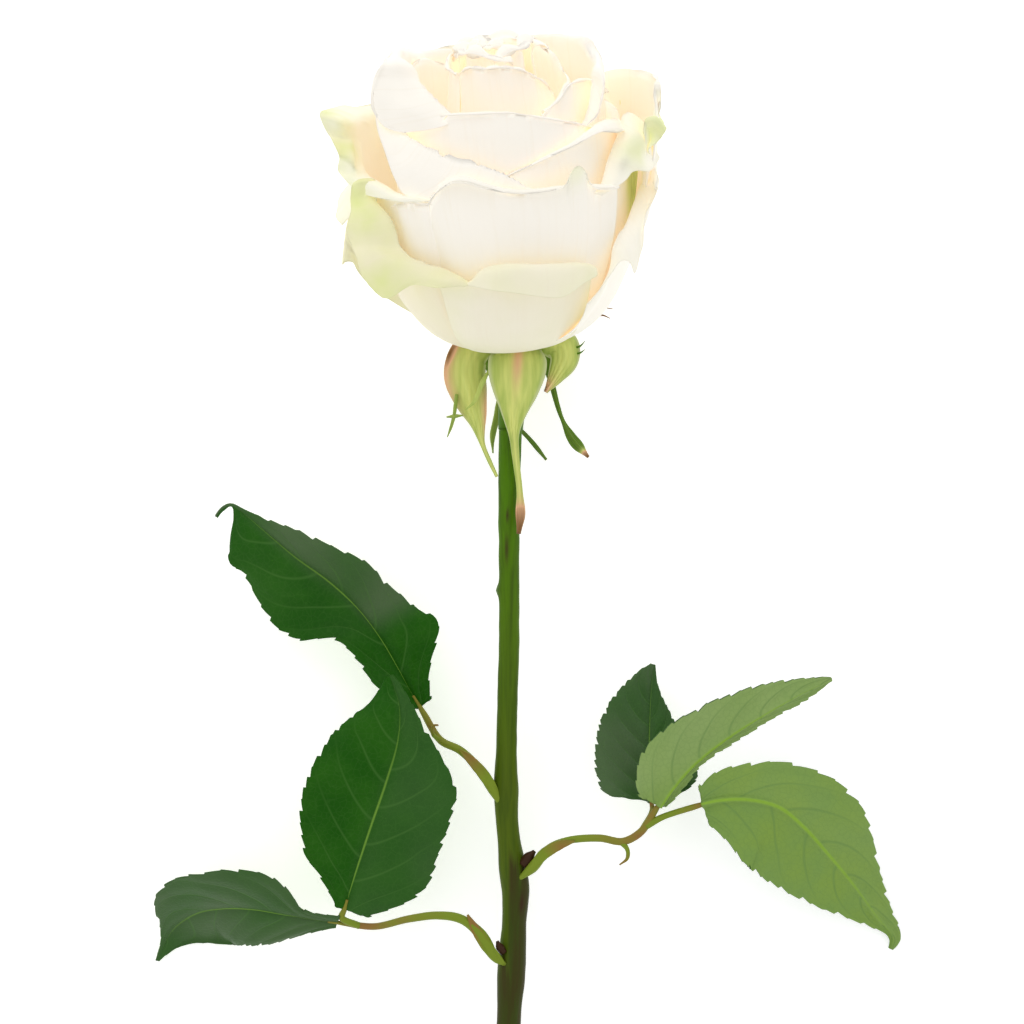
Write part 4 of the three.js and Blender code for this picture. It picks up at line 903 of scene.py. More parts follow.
LEAFLETS = dict(
    low_left_side_leaflet=dict(
        rib=[(-41.3, -142.1, -1), (-48, -141, 0.5), (-55.6, -139.8, 1), (-63, -138.6, 0.4),
             (-70.4, -138.6, -2), (-77.6, -140.2, -5.6), (-84, -145, -9.6), (-88, -153.2, -13.4)],
        wide=(12, 13), roll=(-38, -42, -46, -44, -30), fold=(10,), wave=(0.8, 4, 0.5), painted_sheen=(0.8, 1),
        outline=((0.1, 0.17, 0.3, 0.45, 0.62, 0.79, 0.94, 0.99, 1.02, 1.05, 1.08, 1.11, 1.17, 1.3,
                  1.42, 1.45, 1.25, 0.8, 0.37, 0.15, 0.03),
                 (0.2, 0.22, 0.2, 0.22, 0.35, 0.73, 0.96, 1.1, 1.19, 1.26, 1.27, 1.33, 1.27, 1.17,
                  0.99, 0.7, 0.38, 0.18, 0.08, 0.05, 0.03)),
    ),
    low_left_top_leaflet=dict(
        rib=[(-42, -140.4, 0.5), (-38.8, -130, 3), (-34.8, -118, 5), (-31, -107, 6.4),
             (-28.2, -97, 7), (-28, -89, 6.6), (-30.6, -81.4, 5)],
        wide=(18.2, 18.8), roll=(0, 4, 6, -6, -18), fold=(10, 12, 16), wave=(0.8, 4, 0),
        outline=((0.1, 0.16, 0.32, 0.5, 0.72, 0.82, 0.9, 0.97, 1.01, 1.04, 1.04, 1.02, 0.98, 0.92,
                  0.88, 0.82, 0.71, 0.61, 0.45, 0.22, 0.03),
                 (0.2, 0.4, 0.6, 0.78, 0.9, 0.95, 0.97, 0.95, 0.96, 0.96, 0.95, 0.94, 0.93, 0.85,
                  0.66, 0.46, 0.31, 0.2, 0.13, 0.09, 0.04)),
        painted_sheen=(0, 0.35),
    ),
    top_left_leaflet=dict(
        rib=[(-22, -92.4, -2), (-25.8, -86.2, -4), (-29.4, -79.8, -5), (-33.2, -73.4, -4.5),
             (-38.4, -66.4, -3), (-45, -60, -1), (-53.6, -53.6, 1), (-61.4, -47, -0.4),
             (-66.6, -42.8, -3.6), (-69.3, -41.6, -5.4), (-71.6, -42.8, -7), (-73.4, -45.2, -8.4)],
        wide=(13.5, 13.5), roll=(12, -14, -22, -20, -8), fold=(16, 18, 12), wave=(1.4, 4, 1.2),
        outline=((0.2, 0.43, 0.48, 0.54, 0.57, 0.6, 0.61, 0.66, 0.87, 1.15, 1.25, 1.29, 1.25, 1.13,
                  0.98, 0.9, 0.88, 0.5, 0.05, 0.04, 0.03),
                 (0.1, 0.32, 0.45, 0.71, 1.05, 1.17, 0.98, 0.91, 0.86, 0.92, 0.93, 0.8, 0.68, 0.58,
                  0.45, 0.3, 0.18, 0.08, 0.04, 0.04, 0.03)),
        painted_sheen=(0.1, 1), painted_sheen_from=0.32,
    ),
    right_back_leaflet=dict(
        rib=[(32.2, -113.6, 4), (31.6, -105, -0.5), (32, -96, -4.5), (32.4, -88, -7),
             (33.2, -79.6, -8)],
        wide=(14.5, 10), roll=(18, 20, 22), wave=(0.7, 3, 0.4), painted_sheen=(1.1, 0.7),
        outline=((0.5, 0.85, 0.97, 0.98, 1.01, 1.03, 1.03, 1.03, 1.03, 1.02, 1.01, 0.98, 0.92, 0.87,
                  0.81, 0.72, 0.62, 0.52, 0.38, 0.23, 0.03),
                 (0.2, 0.38, 0.86, 1.07, 1.2, 1.22, 1.23, 1.22, 1.13, 1.01, 0.88, 0.77, 0.67, 0.57,
                  0.46, 0.35, 0.25, 0.16, 0.1, 0.06, 0.03)),
    ),
    right_middle_leaflet=dict(
        rib=[(32.6, -114.6, 7), (36.3, -108.9, 8.6), (41.6, -102.8, 9.4), (48.6, -97.2, 9.4),
             (58.3, -91.2, 8), (67.5, -86.4, 5), (76, -83, 1)],
        wide=(9, 12), roll=(214, 216, 212, 206), wave=(0.7, 3, 0), painted_sheen=(0.7, 0.9),
        outline=((0.15, 0.36, 0.46, 0.46, 0.42, 0.36, 0.32, 0.33, 0.36, 0.39, 0.4, 0.4, 0.4, 0.39,
                  0.39, 0.4, 0.39, 0.36, 0.27, 0.14, 0.02),
                 (0.2, 0.6, 0.79, 0.96, 1.04, 1.04, 1.05, 1.02, 0.96, 0.95, 0.88, 0.8, 0.73, 0.65,
                  0.55, 0.47, 0.37, 0.28, 0.2, 0.12, 0.03)),
    ),
    right_end_leaflet=dict(
        rib=[(41.6, -113.4, 8), (47.6, -111.7, 9.6), (54.8, -111.4, 10), (62, -113.2, 9.4),
             (68, -118, 7.6), (74, -124.6, 4.4), (80.6, -132.4, -0.6), (87, -141, -7),
             (91.6, -147, -12), (90.6, -150.6, -13.8)],
        wide=(14.5, 14), roll=(172, 176, 182, 186), fold=(10,), wave=(0.8, 3, 0.8),
        outline=((0.16, 0.47, 0.71, 0.97, 1.07, 1.14, 1.12, 1.12, 1.1, 1.07, 1, 0.93, 0.84, 0.75,
                  0.63, 0.49, 0.34, 0.2, 0.1, 0.07, 0.03),
                 (0.16, 0.39, 0.53, 0.6, 0.68, 0.76, 0.87, 0.97, 1, 1.01, 0.96, 0.87, 0.74, 0.62,
                  0.51, 0.43, 0.36, 0.29, 0.22, 0.13, 0.03)),
        painted_sheen=(0, 0.2),
    ),
)


def side_vein(s, t):
    """Distance from the nearest side vein, as a share of the space between two, from 0 to 0.5."""
    place = (t - VEIN_SWEEP * abs(s) ** VEIN_BEND) * SIDE_VEINS + (VEIN_SHIFT if s < 0 else 0)
    return abs(place - round(place))


def leaflet_mesh(given):
    """A leaflet with its teeth, its midrib and veins underneath, and swellings between them."""
    b = BLADE | given
    widest = max(b["wide"])

    def relief(s, t, half):
        """Swellings between the side veins, with the midrib sunk in a groove."""
        swell = 0.3 * smooth(side_vein(s, t), 0, 0.4) * smooth(abs(s), 0.02, 0.25)
        swell *= 1 - smooth(abs(s), 0.75, 1)
        groove = 0.4 * math.exp(-((abs(s) * half / 0.7) ** 2)) * (1 - 0.6 * t)
        return (swell - groove) * min(half / 6, 1)

    bent = blade_surface(b, relief)

    def toothed(s, t):
        """Teeth that lean towards the tip: the margin goes out slowly and falls back at once."""
        tooth, share = divmod(t * TEETH, 1)
        depth = TOOTH_DEPTH * (1 + 0.6 * math.sin(2.4 * tooth + 5 * s))
        bite = depth * (1 - share**0.9) * smooth(abs(s), 0.8, 1)
        bite *= min(1, 3 * outline_at(b, s, t)) / widest / max(outline_at(b, s, t), 0.2)
        return off_floor(bent(s * (1 - bite), t), FLOWER)

    def half(s, t, side):
        rib = 0.6 * (1 - 0.75 * t) * math.exp(-((abs(s) * widest * outline_at(b, s, t) / 0.6) ** 2))
        vein = 0.16 * (1 - smooth(side_vein(s, t), 0, 0.09)) * (1 - abs(s))
        under = rib + vein if side < 0 else 0
        return mix(BLADE_RIM_HALF, BLADE_HALF, smooth(1 - abs(s), 0, 0.15)) + under

    def tints(s, t):
        cloud = 0.8 + 0.7 * noise.noise(0.07 * bent(s, t))
        # painted sheen: the grey-green reflection of the sky, laid on one half of a leaflet from a place
        # along the midrib on
        begun = smooth(t, b["painted_sheen_from"] - 0.06, b["painted_sheen_from"] + 0.06)
        return cloud * begun * mix(*b["painted_sheen"], smooth(s, -0.2, 0.2)), 0

    near_rib = [-1, -0.985, *evenly(16, -0.93, -0.1), -0.06, -0.03]
    columns = [*near_rib, 0, *[-s for s in reversed(near_rib)]]
    per_tooth = [0, 0.25, 0.5, 0.75, 0.93]
    rows = [(k + x) / TEETH for k in range(TEETH) for x in per_tooth]
    rows = [LEAFLET_START, *[t for t in rows if LEAFLET_START < t < LEAFLET_END], LEAFLET_END]
    return sheet(toothed, columns, rows, half, tints)


# Stem

CUT_END_Y = -328
STEM_RADIUS = 2.45
STEM_LINE = [
    (-1.6, -23.4, 0.6), (-1.9, -40, 0.1), (-1.9, -56, 0), (-1.9, -74, 0), (-2.4, -93, 0.2),
    (-2.6, -108, 0.3), (-2.3, -118, 0.2), (-1.3, -127, 0), (-0.4, -134, -0.2), (-0.8, -144, -0.2),
    (-1.3, -153, 0), (-1.9, -164, 0.2), (-2.4, -182, 0.3), (-2.2, -206, 0.2), (-1.0, -228, 0),
    (0.2, -248, -0.2), (0.4, -272, -0.1), (-0.2, -300, 0), (-0.6, CUT_END_Y, 0),
]
STEM_NODES = [-110, -131, -153, -228, -284]  # where leaves grow or grew, along Y
STEM_SCARS = [  # place along Y, turn about the stem from the front, height and breadth
    (-228, 150, 1.2, 3), (-284, -20, 1.2, 3), (-252, 70, 1.3, 1.8), (-196, -120, 1.3, 1.8),
    (-62, 250, 0.9, 1.5),
]
STEM_SCRATCHES = [(-44, -8, 0.35, 1.6), (-52, -14, 0.4, 3.4), (-137, 30, 0.5, 2.4)]
AXIL_BUDS = [  # points and radii
    ([(1.6, -127.6, 1.6), (3.4, -125.2, 2.5), (4.2, -124.3, 2.6)], [1.4, 1.4, 0.5]),
    ([(-3.2, -148.6, 2.4), (-4.3, -146.9, 3), (-4.7, -145.8, 3.2)], [0.9, 1, 0.4]),
]
STEM_SIDES, STEM_STEPS = 36, 340
STEM_RIBS = 5
SCAR_TURN = 28  # degrees round the stem over which a scar fades


def stem_radius(y):
    """Radius along Y: more just under the hip, below the first leaves, and at each node."""
    nodes = max(0.5 * math.exp(-(((y - node) / 6.5) ** 2)) for node in STEM_NODES)
    return STEM_RADIUS + 0.25 * smooth(-y, 60, 24) + 0.45 * smooth(-y, 112, 132) + nodes


def stem_mesh():
    """The stem with its ribs, nodes, scars and scratches, and the buds on it."""
    line = Line(STEM_LINE)
    radii = [stem_radius(line.at(k / STEM_STEPS).y) for k in range(STEM_STEPS + 1)]

    def turned(middle, point):
        return math.degrees(math.atan2(point.x - middle.x, point.z - middle.z))

    bm = tube(STEM_LINE, radii, STEM_SIDES, STEM_STEPS)
    tint = bm.verts.layers.float["tint"]
    middles = [line.at(k / 400) for k in range(401)]
    for v in bm.verts:
        near = min(middles, key=lambda m: abs(m.y - v.co.y))
        turn = turned(near, v.co)
        away = Vector((v.co.x - near.x, 0, v.co.z - near.z))
        lift = 0.12 * noise.noise(v.co * 0.25) + 0.07 * math.cos(math.radians(STEM_RIBS * turn))
        for y, angle, height, breadth in STEM_SCARS:
            side = (turn - angle + 180) % 360 - 180
            lift += height * math.exp(-(((v.co.y - y) / breadth) ** 2 + (side / SCAR_TURN) ** 2))
        for y, angle, breadth, length in STEM_SCRATCHES:
            # 57 degrees round the stem are as long as its radius
            side = ((turn - angle + 180) % 360 - 180) / 57 * STEM_RADIUS
            v[tint] += math.exp(-(((v.co.y - y) / length) ** 2 + (side / breadth) ** 2))
        v.co += away.normalized() * lift
    buds = [tinted(tube(*bud, sides=16, steps=10), "tint", 1) for bud in AXIL_BUDS]
    return merged([bm, *buds])


# Leaf stalks, each with its stipule at the foot

STALKS = dict(
    low_left_leaf_stalk=dict(
        line=[(-1.6, -151.7, 2.2), (-4.9, -150.2, 2.9), (-8.9, -143.9, 3.6), (-13.4, -140.4, 4),
              (-19, -139.6, 3.6), (-26, -140.6, 2.4), (-34, -142.6, 0.6)],
        radii=(0.5, 1.45, 1.1, 0.95, 0.85, 0.8), bears="low_left_side_leaflet",
        twigs=[dict(line=[(-37.8, -142.6, -0.4)], radii=(0.85, 0.8), bears="low_left_top_leaflet")],
        stipule=[(-2.8, -151.6, 3), (-7, -147.2, 4), (-10, -142.6, 4.6), (-12, -139, 5)],
    ),
    top_left_leaf_stalk=dict(
        line=[(-2.6, -115.4, 1), (-5.2, -110.6, 1.8), (-9.2, -104.6, 1.4), (-13.6, -100.4, 0.4),
              (-18.4, -98, -0.8)],
        radii=(0.5, 1.3, 1.05, 0.95, 0.85), bears="top_left_leaflet",
        twigs=[dict(line=[(-18.6, -98, -0.6), (-20.2, -96.4, 1.2), (-20, -94.4, 2), (-18.8, -94.2, 2)],
                    radii=(0.6, 0.45, 0.25))],
        stipule=[(-4, -112, 2), (-8, -106, 2.8), (-11.6, -102, 2.2), (-14, -100, 1.4)],
    ),
    right_leaf_stalk=dict(
        line=[(0, -131.4, 2.2), (3.6, -128.3, 3.2), (7.6, -123.6, 4.8), (12, -121.5, 6),
              (19.6, -120.8, 7), (25.2, -121.6, 7), (29.4, -119.4, 6.8)],
        radii=(0.5, 1.3, 1.05, 0.9, 0.9, 0.9, 0.95, 0.85), bears="right_middle_leaflet",
        twigs=[
            dict(line=[(24.6, -121.6, 7), (26.2, -123.4, 7.4), (26.2, -125.6, 7.2),
                       (24.4, -127.2, 6.6)], radii=(0.7, 0.5, 0.2)),
            dict(line=[(30.6, -118, 6.8), (34.6, -115.8, 7)], radii=(0.9, 0.75, 0.75),
                 bears="right_end_leaflet"),
            dict(line=[(30, -118.6, 6.5)], radii=(0.8, 0.7), bears="right_back_leaflet"),
        ],
        stipule=[(3, -129, 3.6), (6.6, -124.6, 5.4), (10.4, -122.4, 6.6), (14, -121.4, 7.4)],
    ),
)
MIDRIB_RADIUS = 0.4  # of a stalk where it ends in a leaflet's midrib
STIPULE_HALF = 0.2  # half a stipule's thickness
STIPULE = dict(
    wide=(1.3, 1.3), outline=(0.3, 0.9, 1, 0.8, 0.15), roll=(0,), fold=(8,), cup=0,
    wave=(0.2, 5, 0),
)


def leaflet_foot(name):
    """The last points of a stalk, up to its leaflet's base and a little way along the midrib."""
    line = Line(LEAFLETS[name]["rib"])
    base, ahead = line.at(LEAFLET_START), line.heading(LEAFLET_START)
    return [base - 2.3 * ahead, base - 0.3 * ahead, line.at(LEAFLET_START + 0.04)]


def leaf_stalk_mesh(leaf):
    """A leaf stalk with its twigs, each run into the leaflet that it bears, and its stipule."""
    parts = []
    for piece in (leaf, *leaf["twigs"]):
        foot = leaflet_foot(piece["bears"]) if "bears" in piece else []
        sides, steps = (16, 90) if piece is leaf else (12, 30)
        radii = piece["radii"] + ((MIDRIB_RADIUS,) if foot else ())
        parts.append(tube(piece["line"] + foot, radii, sides, steps))
    stipule = blade_surface(STIPULE | dict(rib=leaf["stipule"]))
    columns, rows = evenly(10, -1, 1), evenly(24, 0.02, 0.98)
    parts.append(sheet(stipule, columns, rows, lambda s, t, side: STIPULE_HALF))
    return merged(parts)


# Hip and sepals

HIP_PROFILE = [
    (0, -23.6), (2.95, -23.6), (3.1, -21), (3.3, -18), (3.7, -15), (4.3, -12.5), (5, -10),
    (5.7, -7.5), (6.05, -5.6), (6.1, -4), (5.8, -2.4), (5.4, -1), (4.4, -0.3), (0, -0.3),
]
HIP_LEAN = -3.8  # degrees that the hip is turned about Z
SEPAL = dict(fold=(-12,), wave=(0.3, 3, 0), cup=0.08, blush=(), withered=(), shaded=0)
SEPALS = dict(
    front=dict(
        rib=[(0.4, -3.2, 4.2), (0.3, -5.4, 7.6), (0, -9.4, 9), (-0.4, -15.4, 8.6), (-0.8, -23, 7),
             (-0.2, -31, 5.4), (0.6, -38, 4.8), (0.8, -44, 4.8), (0.4, -48.4, 5)],
        wide=(7, 7), outline=(0.8, 1, 0.98, 0.76, 0.44, 0.19, 0.13, 0.11, 0.11, 0.17, 0.06),
        blush=((0, 0.12, 0.16, 0.13),), withered=((0, 0.98, 2, 0.1),),
    ),
    left=dict(
        rib=[(-3, -2, 2.6), (-7.5, -2.6, 3.6), (-11.2, -5.2, 4.4), (-12.5, -9.8, 5),
             (-11.4, -15.1, 5.4), (-9.6, -21, 5.4), (-8.2, -27.1, 5.2), (-6.5, -31.2, 5),
             (-4.8, -34.8, 4.8)],
        wide=(5, 5), outline=(0.6, 0.7, 0.9, 1, 1, 0.85, 0.6, 0.3, 0.11, 0.09, 0.05),
        blush=((1, 0.34, 0.4, 0.2), (-1, 0.62, 0.4, 0.14)), withered=((0.9, 0.27, 0.2, 0.05),),
    ),
    right=dict(
        rib=[(3, -1.8, 2.4), (7.4, -2, 3.4), (10.8, -3.6, 4), (11.3, -6.6, 4.2), (9.4, -10.6, 4.4),
             (6.8, -14.6, 4.6)],
        wide=(4.2, 4.2), outline=(0.6, 0.8, 0.95, 1, 0.95, 0.85, 0.7, 0.5, 0.3, 0.1),
        blush=((0.6, 0.95, 1, 0.12),), withered=((0.9, 0.98, 0.8, 0.06),),
    ),
    back_right=dict(
        rib=[(3, -1.6, -2.6), (6.6, -2.6, -5.6), (8.4, -6, -7.2), (8.2, -10, -7), (9.4, -16, -6),
             (11, -21, -4.6), (13.4, -25.6, -3.6), (15.4, -28, -3), (17.2, -30, -2.6)],
        wide=(4.4, 4.4), outline=(0.7, 1, 0.95, 0.5, 0.2, 0.15, 0.12, 0.1, 0.26, 0.3, 0.05),
        withered=((0, 1, 2, 0.04),), shaded=0.9,
    ),
    back_left=dict(
        rib=[(-2.6, -1.6, -3), (-4.4, -3.2, -7), (-4.6, -9, -8.8), (-3.6, -15, -8), (-1, -21, -6.6),
             (3.4, -26, -5.8), (7.1, -30.6, -5.2)],
        wide=(4.6, 4.6), outline=(0.75, 1, 0.95, 0.6, 0.3, 0.13, 0.09, 0.08, 0.1, 0.11, 0.03),
        shaded=0.9,
    ),
)
LOBE_TINT = -0.5  # half way to stem green
SEPAL_LOBES = [  # narrow side lobes of the sepals, with their radii and, if it is another, their tint
    ([(-14.4, -15.2, 5.2), (-14.7, -18, 6), (-15, -20.4, 6.6)], (0.45, 0.5, 0.4)),
    ([(-16.8, -20.6, 6.8), (-15, -20.4, 6.6), (-12.9, -20.2, 6.4)], (0.2, 0.5, 0.2)),
    ([(-14.9, -20, 6.6), (-15.6, -22.6, 6.6), (-16.6, -25.4, 6.4)], (0.5, 0.4, 0.15)),
    ([(-6.5, -9.2, 6.6), (-8.2, -12.4, 7.6), (-10.2, -17, 7.4), (-12.2, -18.8, 7)],
     (0.3, 0.6, 0.55, 0.2), 0),
    ([(-3.9, -13.6, -7.6), (-4.7, -19.4, -6.6), (-5.9, -25, -5.6), (-5.8, -29, -5.2)],
     (0.6, 0.9, 0.8, 0.2)),
    ([(13.2, -4, 3), (15, -3.6, 3.6), (16.2, -2.4, 4)], (0.3, 0.24, 0.08), -1),
    ([(13.2, -5.4, 3), (15, -5.2, 3.6), (16.2, -4.4, 4)], (0.3, 0.24, 0.08), -1),
    ([(7, -1.6, -6), (14, 0.4, -7), (18.6, 3.4, -5), (21, 5.8, -2), (23, 5.6, -1)],
     (0.5, 0.5, 0.4, 0.3, 0.1), 2),
    ([(18, 3, -5), (20.4, 4.2, -3), (22.4, 3.4, -2)], (0.35, 0.25, 0.1), 2),
]


def lathe(profile, steps):
    """A closed body turned about Y from (radius, height) points that begin and end on the axis."""
    bm = new_mesh()
    verts = [bm.verts.new((r, y, 0)) for r, y in profile]
    edges = [bm.edges.new(pair) for pair in zip(verts, verts[1:])]
    bmesh.ops.spin(
        bm, geom=verts + edges, axis=(0, 1, 0), cent=(0, 0, 0), angle=2 * math.pi, steps=steps,
        use_merge=True,
    )
    bmesh.ops.remove_doubles(bm, verts=bm.verts[:], dist=1e-3)
    bmesh.ops.recalc_face_normals(bm, faces=bm.faces[:])
    return bm


def sepal_mesh(given):
    """A sepal with long ribs on its outer face, as a closed sheet."""
    b = BLADE | SEPAL | given

    def relief(s, t, half):
        ribs = 0.12 * math.cos(math.pi * 6 * s) * min(half / 3, 1)
        return ribs + 0.25 * math.exp(-((s / 0.1) ** 2)) * t

    def half(s, t, side):
        return mix(0.14, 0.34, smooth(1 - abs(s), 0, 0.3))

    def share(spots, s, t):
        return min(1, sum(
            math.exp(-(((s - at_s) / wide) ** 2 + ((t - at_t) / long) ** 2))
            for at_s, at_t, wide, long in spots
        ))

    def tints(s, t):
        """Blush up to 1, withering above it and stem green below 0; the downy margin."""
        withered = share(b["withered"], s, t)
        warm = max(share(b["blush"], s, t), min(3 * withered, 1)) + withered
        return warm - b["shaded"] * (1 - min(warm, 1)), smooth(abs(s), 0.8, 1)

    columns = with_margins(evenly(24, -1, 1), 0.03)
    return sheet(blade_surface(b, relief), columns, evenly(80, 0, 1), half, tints)


def calyx_mesh():
    """The hip with its sepals and their side lobes."""
    hip = lathe(HIP_PROFILE, steps=40)
    bmesh.ops.rotate(
        hip, verts=hip.verts[:], matrix=Matrix.Rotation(math.radians(HIP_LEAN), 3, "Z")
    )
    for v in hip.verts:
        v[hip.verts.layers.float["tint"]] = -smooth(-v.co.y, 8, 15)
    lobes = [
        tinted(tube(line, radii, sides=10, steps=24), "tint", *(tint or [LOBE_TINT]))
        for line, radii, *tint in SEPAL_LOBES
    ]
    return merged([hip, *(sepal_mesh(s) for s in SEPALS.values()), *lobes])


# Materials


def linear(colour):
    """An sRGB hex colour as linear values with alpha."""
    parts = [int(colour[k : k + 2], 16) / 255 for k in (1, 3, 5)]
    return (*[c / 12.92 if c <= 0.04045 else ((c + 0.055) / 1.055) ** 2.4 for c in parts], 1)


def add(tree, kind, links=None, **settings):
    """Adds a node with its settings. links gives a socket, by name or number, a value or an output."""
    node = tree.nodes.new(kind)
    for name, value in settings.items():
        setattr(node, name, value)
    for name, value in (links or {}).items():
        if isinstance(value, bpy.types.NodeSocket):
            tree.links.new(value, node.inputs[name])
        else:
            node.inputs[name].default_value = value
    return node


def new_material(name, **values):
    """A material with a Principled shader, its constant values on the shader's own sockets."""
    material = bpy.data.materials.new(name)
    material.use_nodes = True
    tree = material.node_tree
    tree.nodes.clear()
    sockets = {socket.replace("_", " "): value for socket, value in values.items()}
    shader = add(tree, "ShaderNodeBsdfPrincipled", sockets)
    add(tree, "ShaderNodeOutputMaterial", {"Surface": shader.outputs[0]})
    return material, tree, shader


# Sockets of a Mix node that mixes colours, its output, and the sockets of a Map Range node
FACTOR, FIRST, SECOND, MIXED = 0, 6, 7, 2
RANGE = ("Value", "From Min", "From Max", "To Min", "To Max")

BLACK = (0, 0, 0, 1)
PETAL_PAINTED_GLOW = 0.18  # strength of the painted glow, an emission that stands in for the light that passes through a petal
CLEFT_PAINTED_GLOW = (1.5, 1.15, 0.85, 1)  # the warmer and stronger painted glow of the narrowest clefts
CLEFT_DEPTHS = (0.88, 0.95)  # how closed in a place is where this painted glow begins and where it is full


def petal_material(p):
    """Living petal: thin, moist cells under a velvety skin. A painted glow, an emission, stands in for the
    light that passes through it, and its closed-in folds get a painted warm shade.
    """
    material, tree, shader = new_material(
        "rose_petal", Roughness=0.55, Specular_IOR_Level=0.35, Sheen_Weight=0.12, Sheen_Roughness=0.4,
        Emission_Color=BLACK, Emission_Strength=PETAL_PAINTED_GLOW,
    )
    tint, deep, cream_and_shade = (
        add(tree, "ShaderNodeAttribute", attribute_name=name).outputs["Fac"]
        for name in ("tint", "deep", "cream_and_shade")
    )
    place = add(tree, "ShaderNodeUVMap", uv_map="place").outputs[0]
    outward = add(tree, "ShaderNodeSeparateXYZ", {0: place}).outputs[1]
    spread = add(tree, "ShaderNodeMapping", {"Vector": place, "Scale": (46, 2.6, 1)}).outputs[0]
    veins = add(tree, "ShaderNodeTexNoise", {"Vector": spread, "Scale": 1, "Detail": 3}).outputs[0]
    where = add(tree, "ShaderNodeTexCoord").outputs["Object"]
    cloud = add(tree, "ShaderNodeTexNoise", {"Vector": where, "Scale": 90, "Detail": 2}).outputs[0]
    ranges = [
        (outward, 0.8, 0.93, 0.4, 1), (deep, *CLEFT_DEPTHS), (cloud, 0.3, 0.7, 0.35, 1.1),
        (veins, 0.52, 0.7, 0, 0.12),
    ]
    thin, cleft, patchy, lines = (
        add(tree, "ShaderNodeMapRange", dict(zip(RANGE, figures))).outputs[0] for figures in ranges
    )

    # painted glow: an emission near the rim of closed-in places, warmest and strongest in the narrowest
    # clefts, in place of light through the petals
    rim_glow_share = add(tree, "ShaderNodeMath", {0: deep, 1: thin}, operation="MULTIPLY").outputs[0]
    glow_share = add(tree, "ShaderNodeMath", {0: rim_glow_share, 1: cleft}, operation="MAXIMUM").outputs[0]
    light = linear(p.petal_painted_glow)
    for share, layer in ((thin, linear(p.petal)), (cleft, CLEFT_PAINTED_GLOW)):
        light = add(
            tree, "ShaderNodeMix", {FACTOR: share, FIRST: light, SECOND: layer}, data_type="RGBA"
        ).outputs[MIXED]
    painted_glow = add(
        tree, "ShaderNodeMix", {FACTOR: glow_share, FIRST: BLACK, SECOND: light}, data_type="RGBA"
    ).outputs[MIXED]
    tree.links.new(painted_glow, shader.inputs["Emission Color"])

    # painted shade: the most closed-in places, as the rays found them, take the warm fold colour
    deepest = add(tree, "ShaderNodeMath", {0: deep, 1: 11}, operation="POWER").outputs[0]
    fold = add(
        tree, "ShaderNodeMath", {0: deepest, 1: 1.7}, operation="MULTIPLY", use_clamp=True
    ).outputs[0]
    greening = add(tree, "ShaderNodeMath", {0: tint, 1: patchy}, operation="MULTIPLY").outputs[0]
    over = add(
        tree, "ShaderNodeMath", {0: greening, 1: -1}, operation="ADD", use_clamp=True
    ).outputs[0]
    # the cream layer of the lowest petals is partly their own cream and partly painted shade
    layers = [
        (fold, p.petal_fold_shade), (cream_and_shade, p.petal_cream_and_shade), (greening, p.petal_rim), (over, p.petal_green),
        (lines, p.petal_vein),
    ]
    colour = linear(p.petal)
    for share, layer in layers:
        colour = add(
            tree, "ShaderNodeMix", {FACTOR: share, FIRST: colour, SECOND: linear(layer)},
            data_type="RGBA",
        ).outputs[MIXED]
    tree.links.new(colour, shader.inputs["Base Color"])
    bump = add(tree, "ShaderNodeBump", {"Height": veins, "Strength": 0.16, "Distance": 0.0004})
    tree.links.new(bump.outputs[0], shader.inputs["Normal"])
    return material


def leaf_veins(tree, across, up):
    """Side veins as lines from 0 to 1, and the distance from the midrib, over a blade's UV map."""
    centred = add(
        tree, "ShaderNodeMath", {0: across, 1: 2, 2: -1}, operation="MULTIPLY_ADD"
    ).outputs[0]
    side = add(tree, "ShaderNodeMath", {0: centred}, operation="ABSOLUTE").outputs[0]
    swept = add(tree, "ShaderNodeMath", {0: side, 1: VEIN_BEND}, operation="POWER").outputs[0]
    start = add(
        tree, "ShaderNodeMath", {0: swept, 1: -VEIN_SWEEP, 2: up}, operation="MULTIPLY_ADD"
    ).outputs[0]
    left = add(tree, "ShaderNodeMath", {0: across, 1: 0.5}, operation="LESS_THAN").outputs[0]
    shift = add(tree, "ShaderNodeMath", {0: left, 1: VEIN_SHIFT}, operation="MULTIPLY").outputs[0]
    count = add(
        tree, "ShaderNodeMath", {0: start, 1: SIDE_VEINS, 2: shift}, operation="MULTIPLY_ADD"
    ).outputs[0]
    apart = add(tree, "ShaderNodeMath", {0: count, 1: 0.5}, operation="PINGPONG").outputs[0]
    line = add(
        tree, "ShaderNodeMapRange", dict(zip(RANGE, (apart, 0, 0.075, 1, 0))),
        interpolation_type="SMOOTHSTEP",
    ).outputs[0]
    fading = add(
        tree, "ShaderNodeMapRange", dict(zip(RANGE, (side, 0.45, 0.95, 1, 0.15)))
    ).outputs[0]
    return add(tree, "ShaderNodeMath", {0: line, 1: fading}, operation="MULTIPLY").outputs[0], side


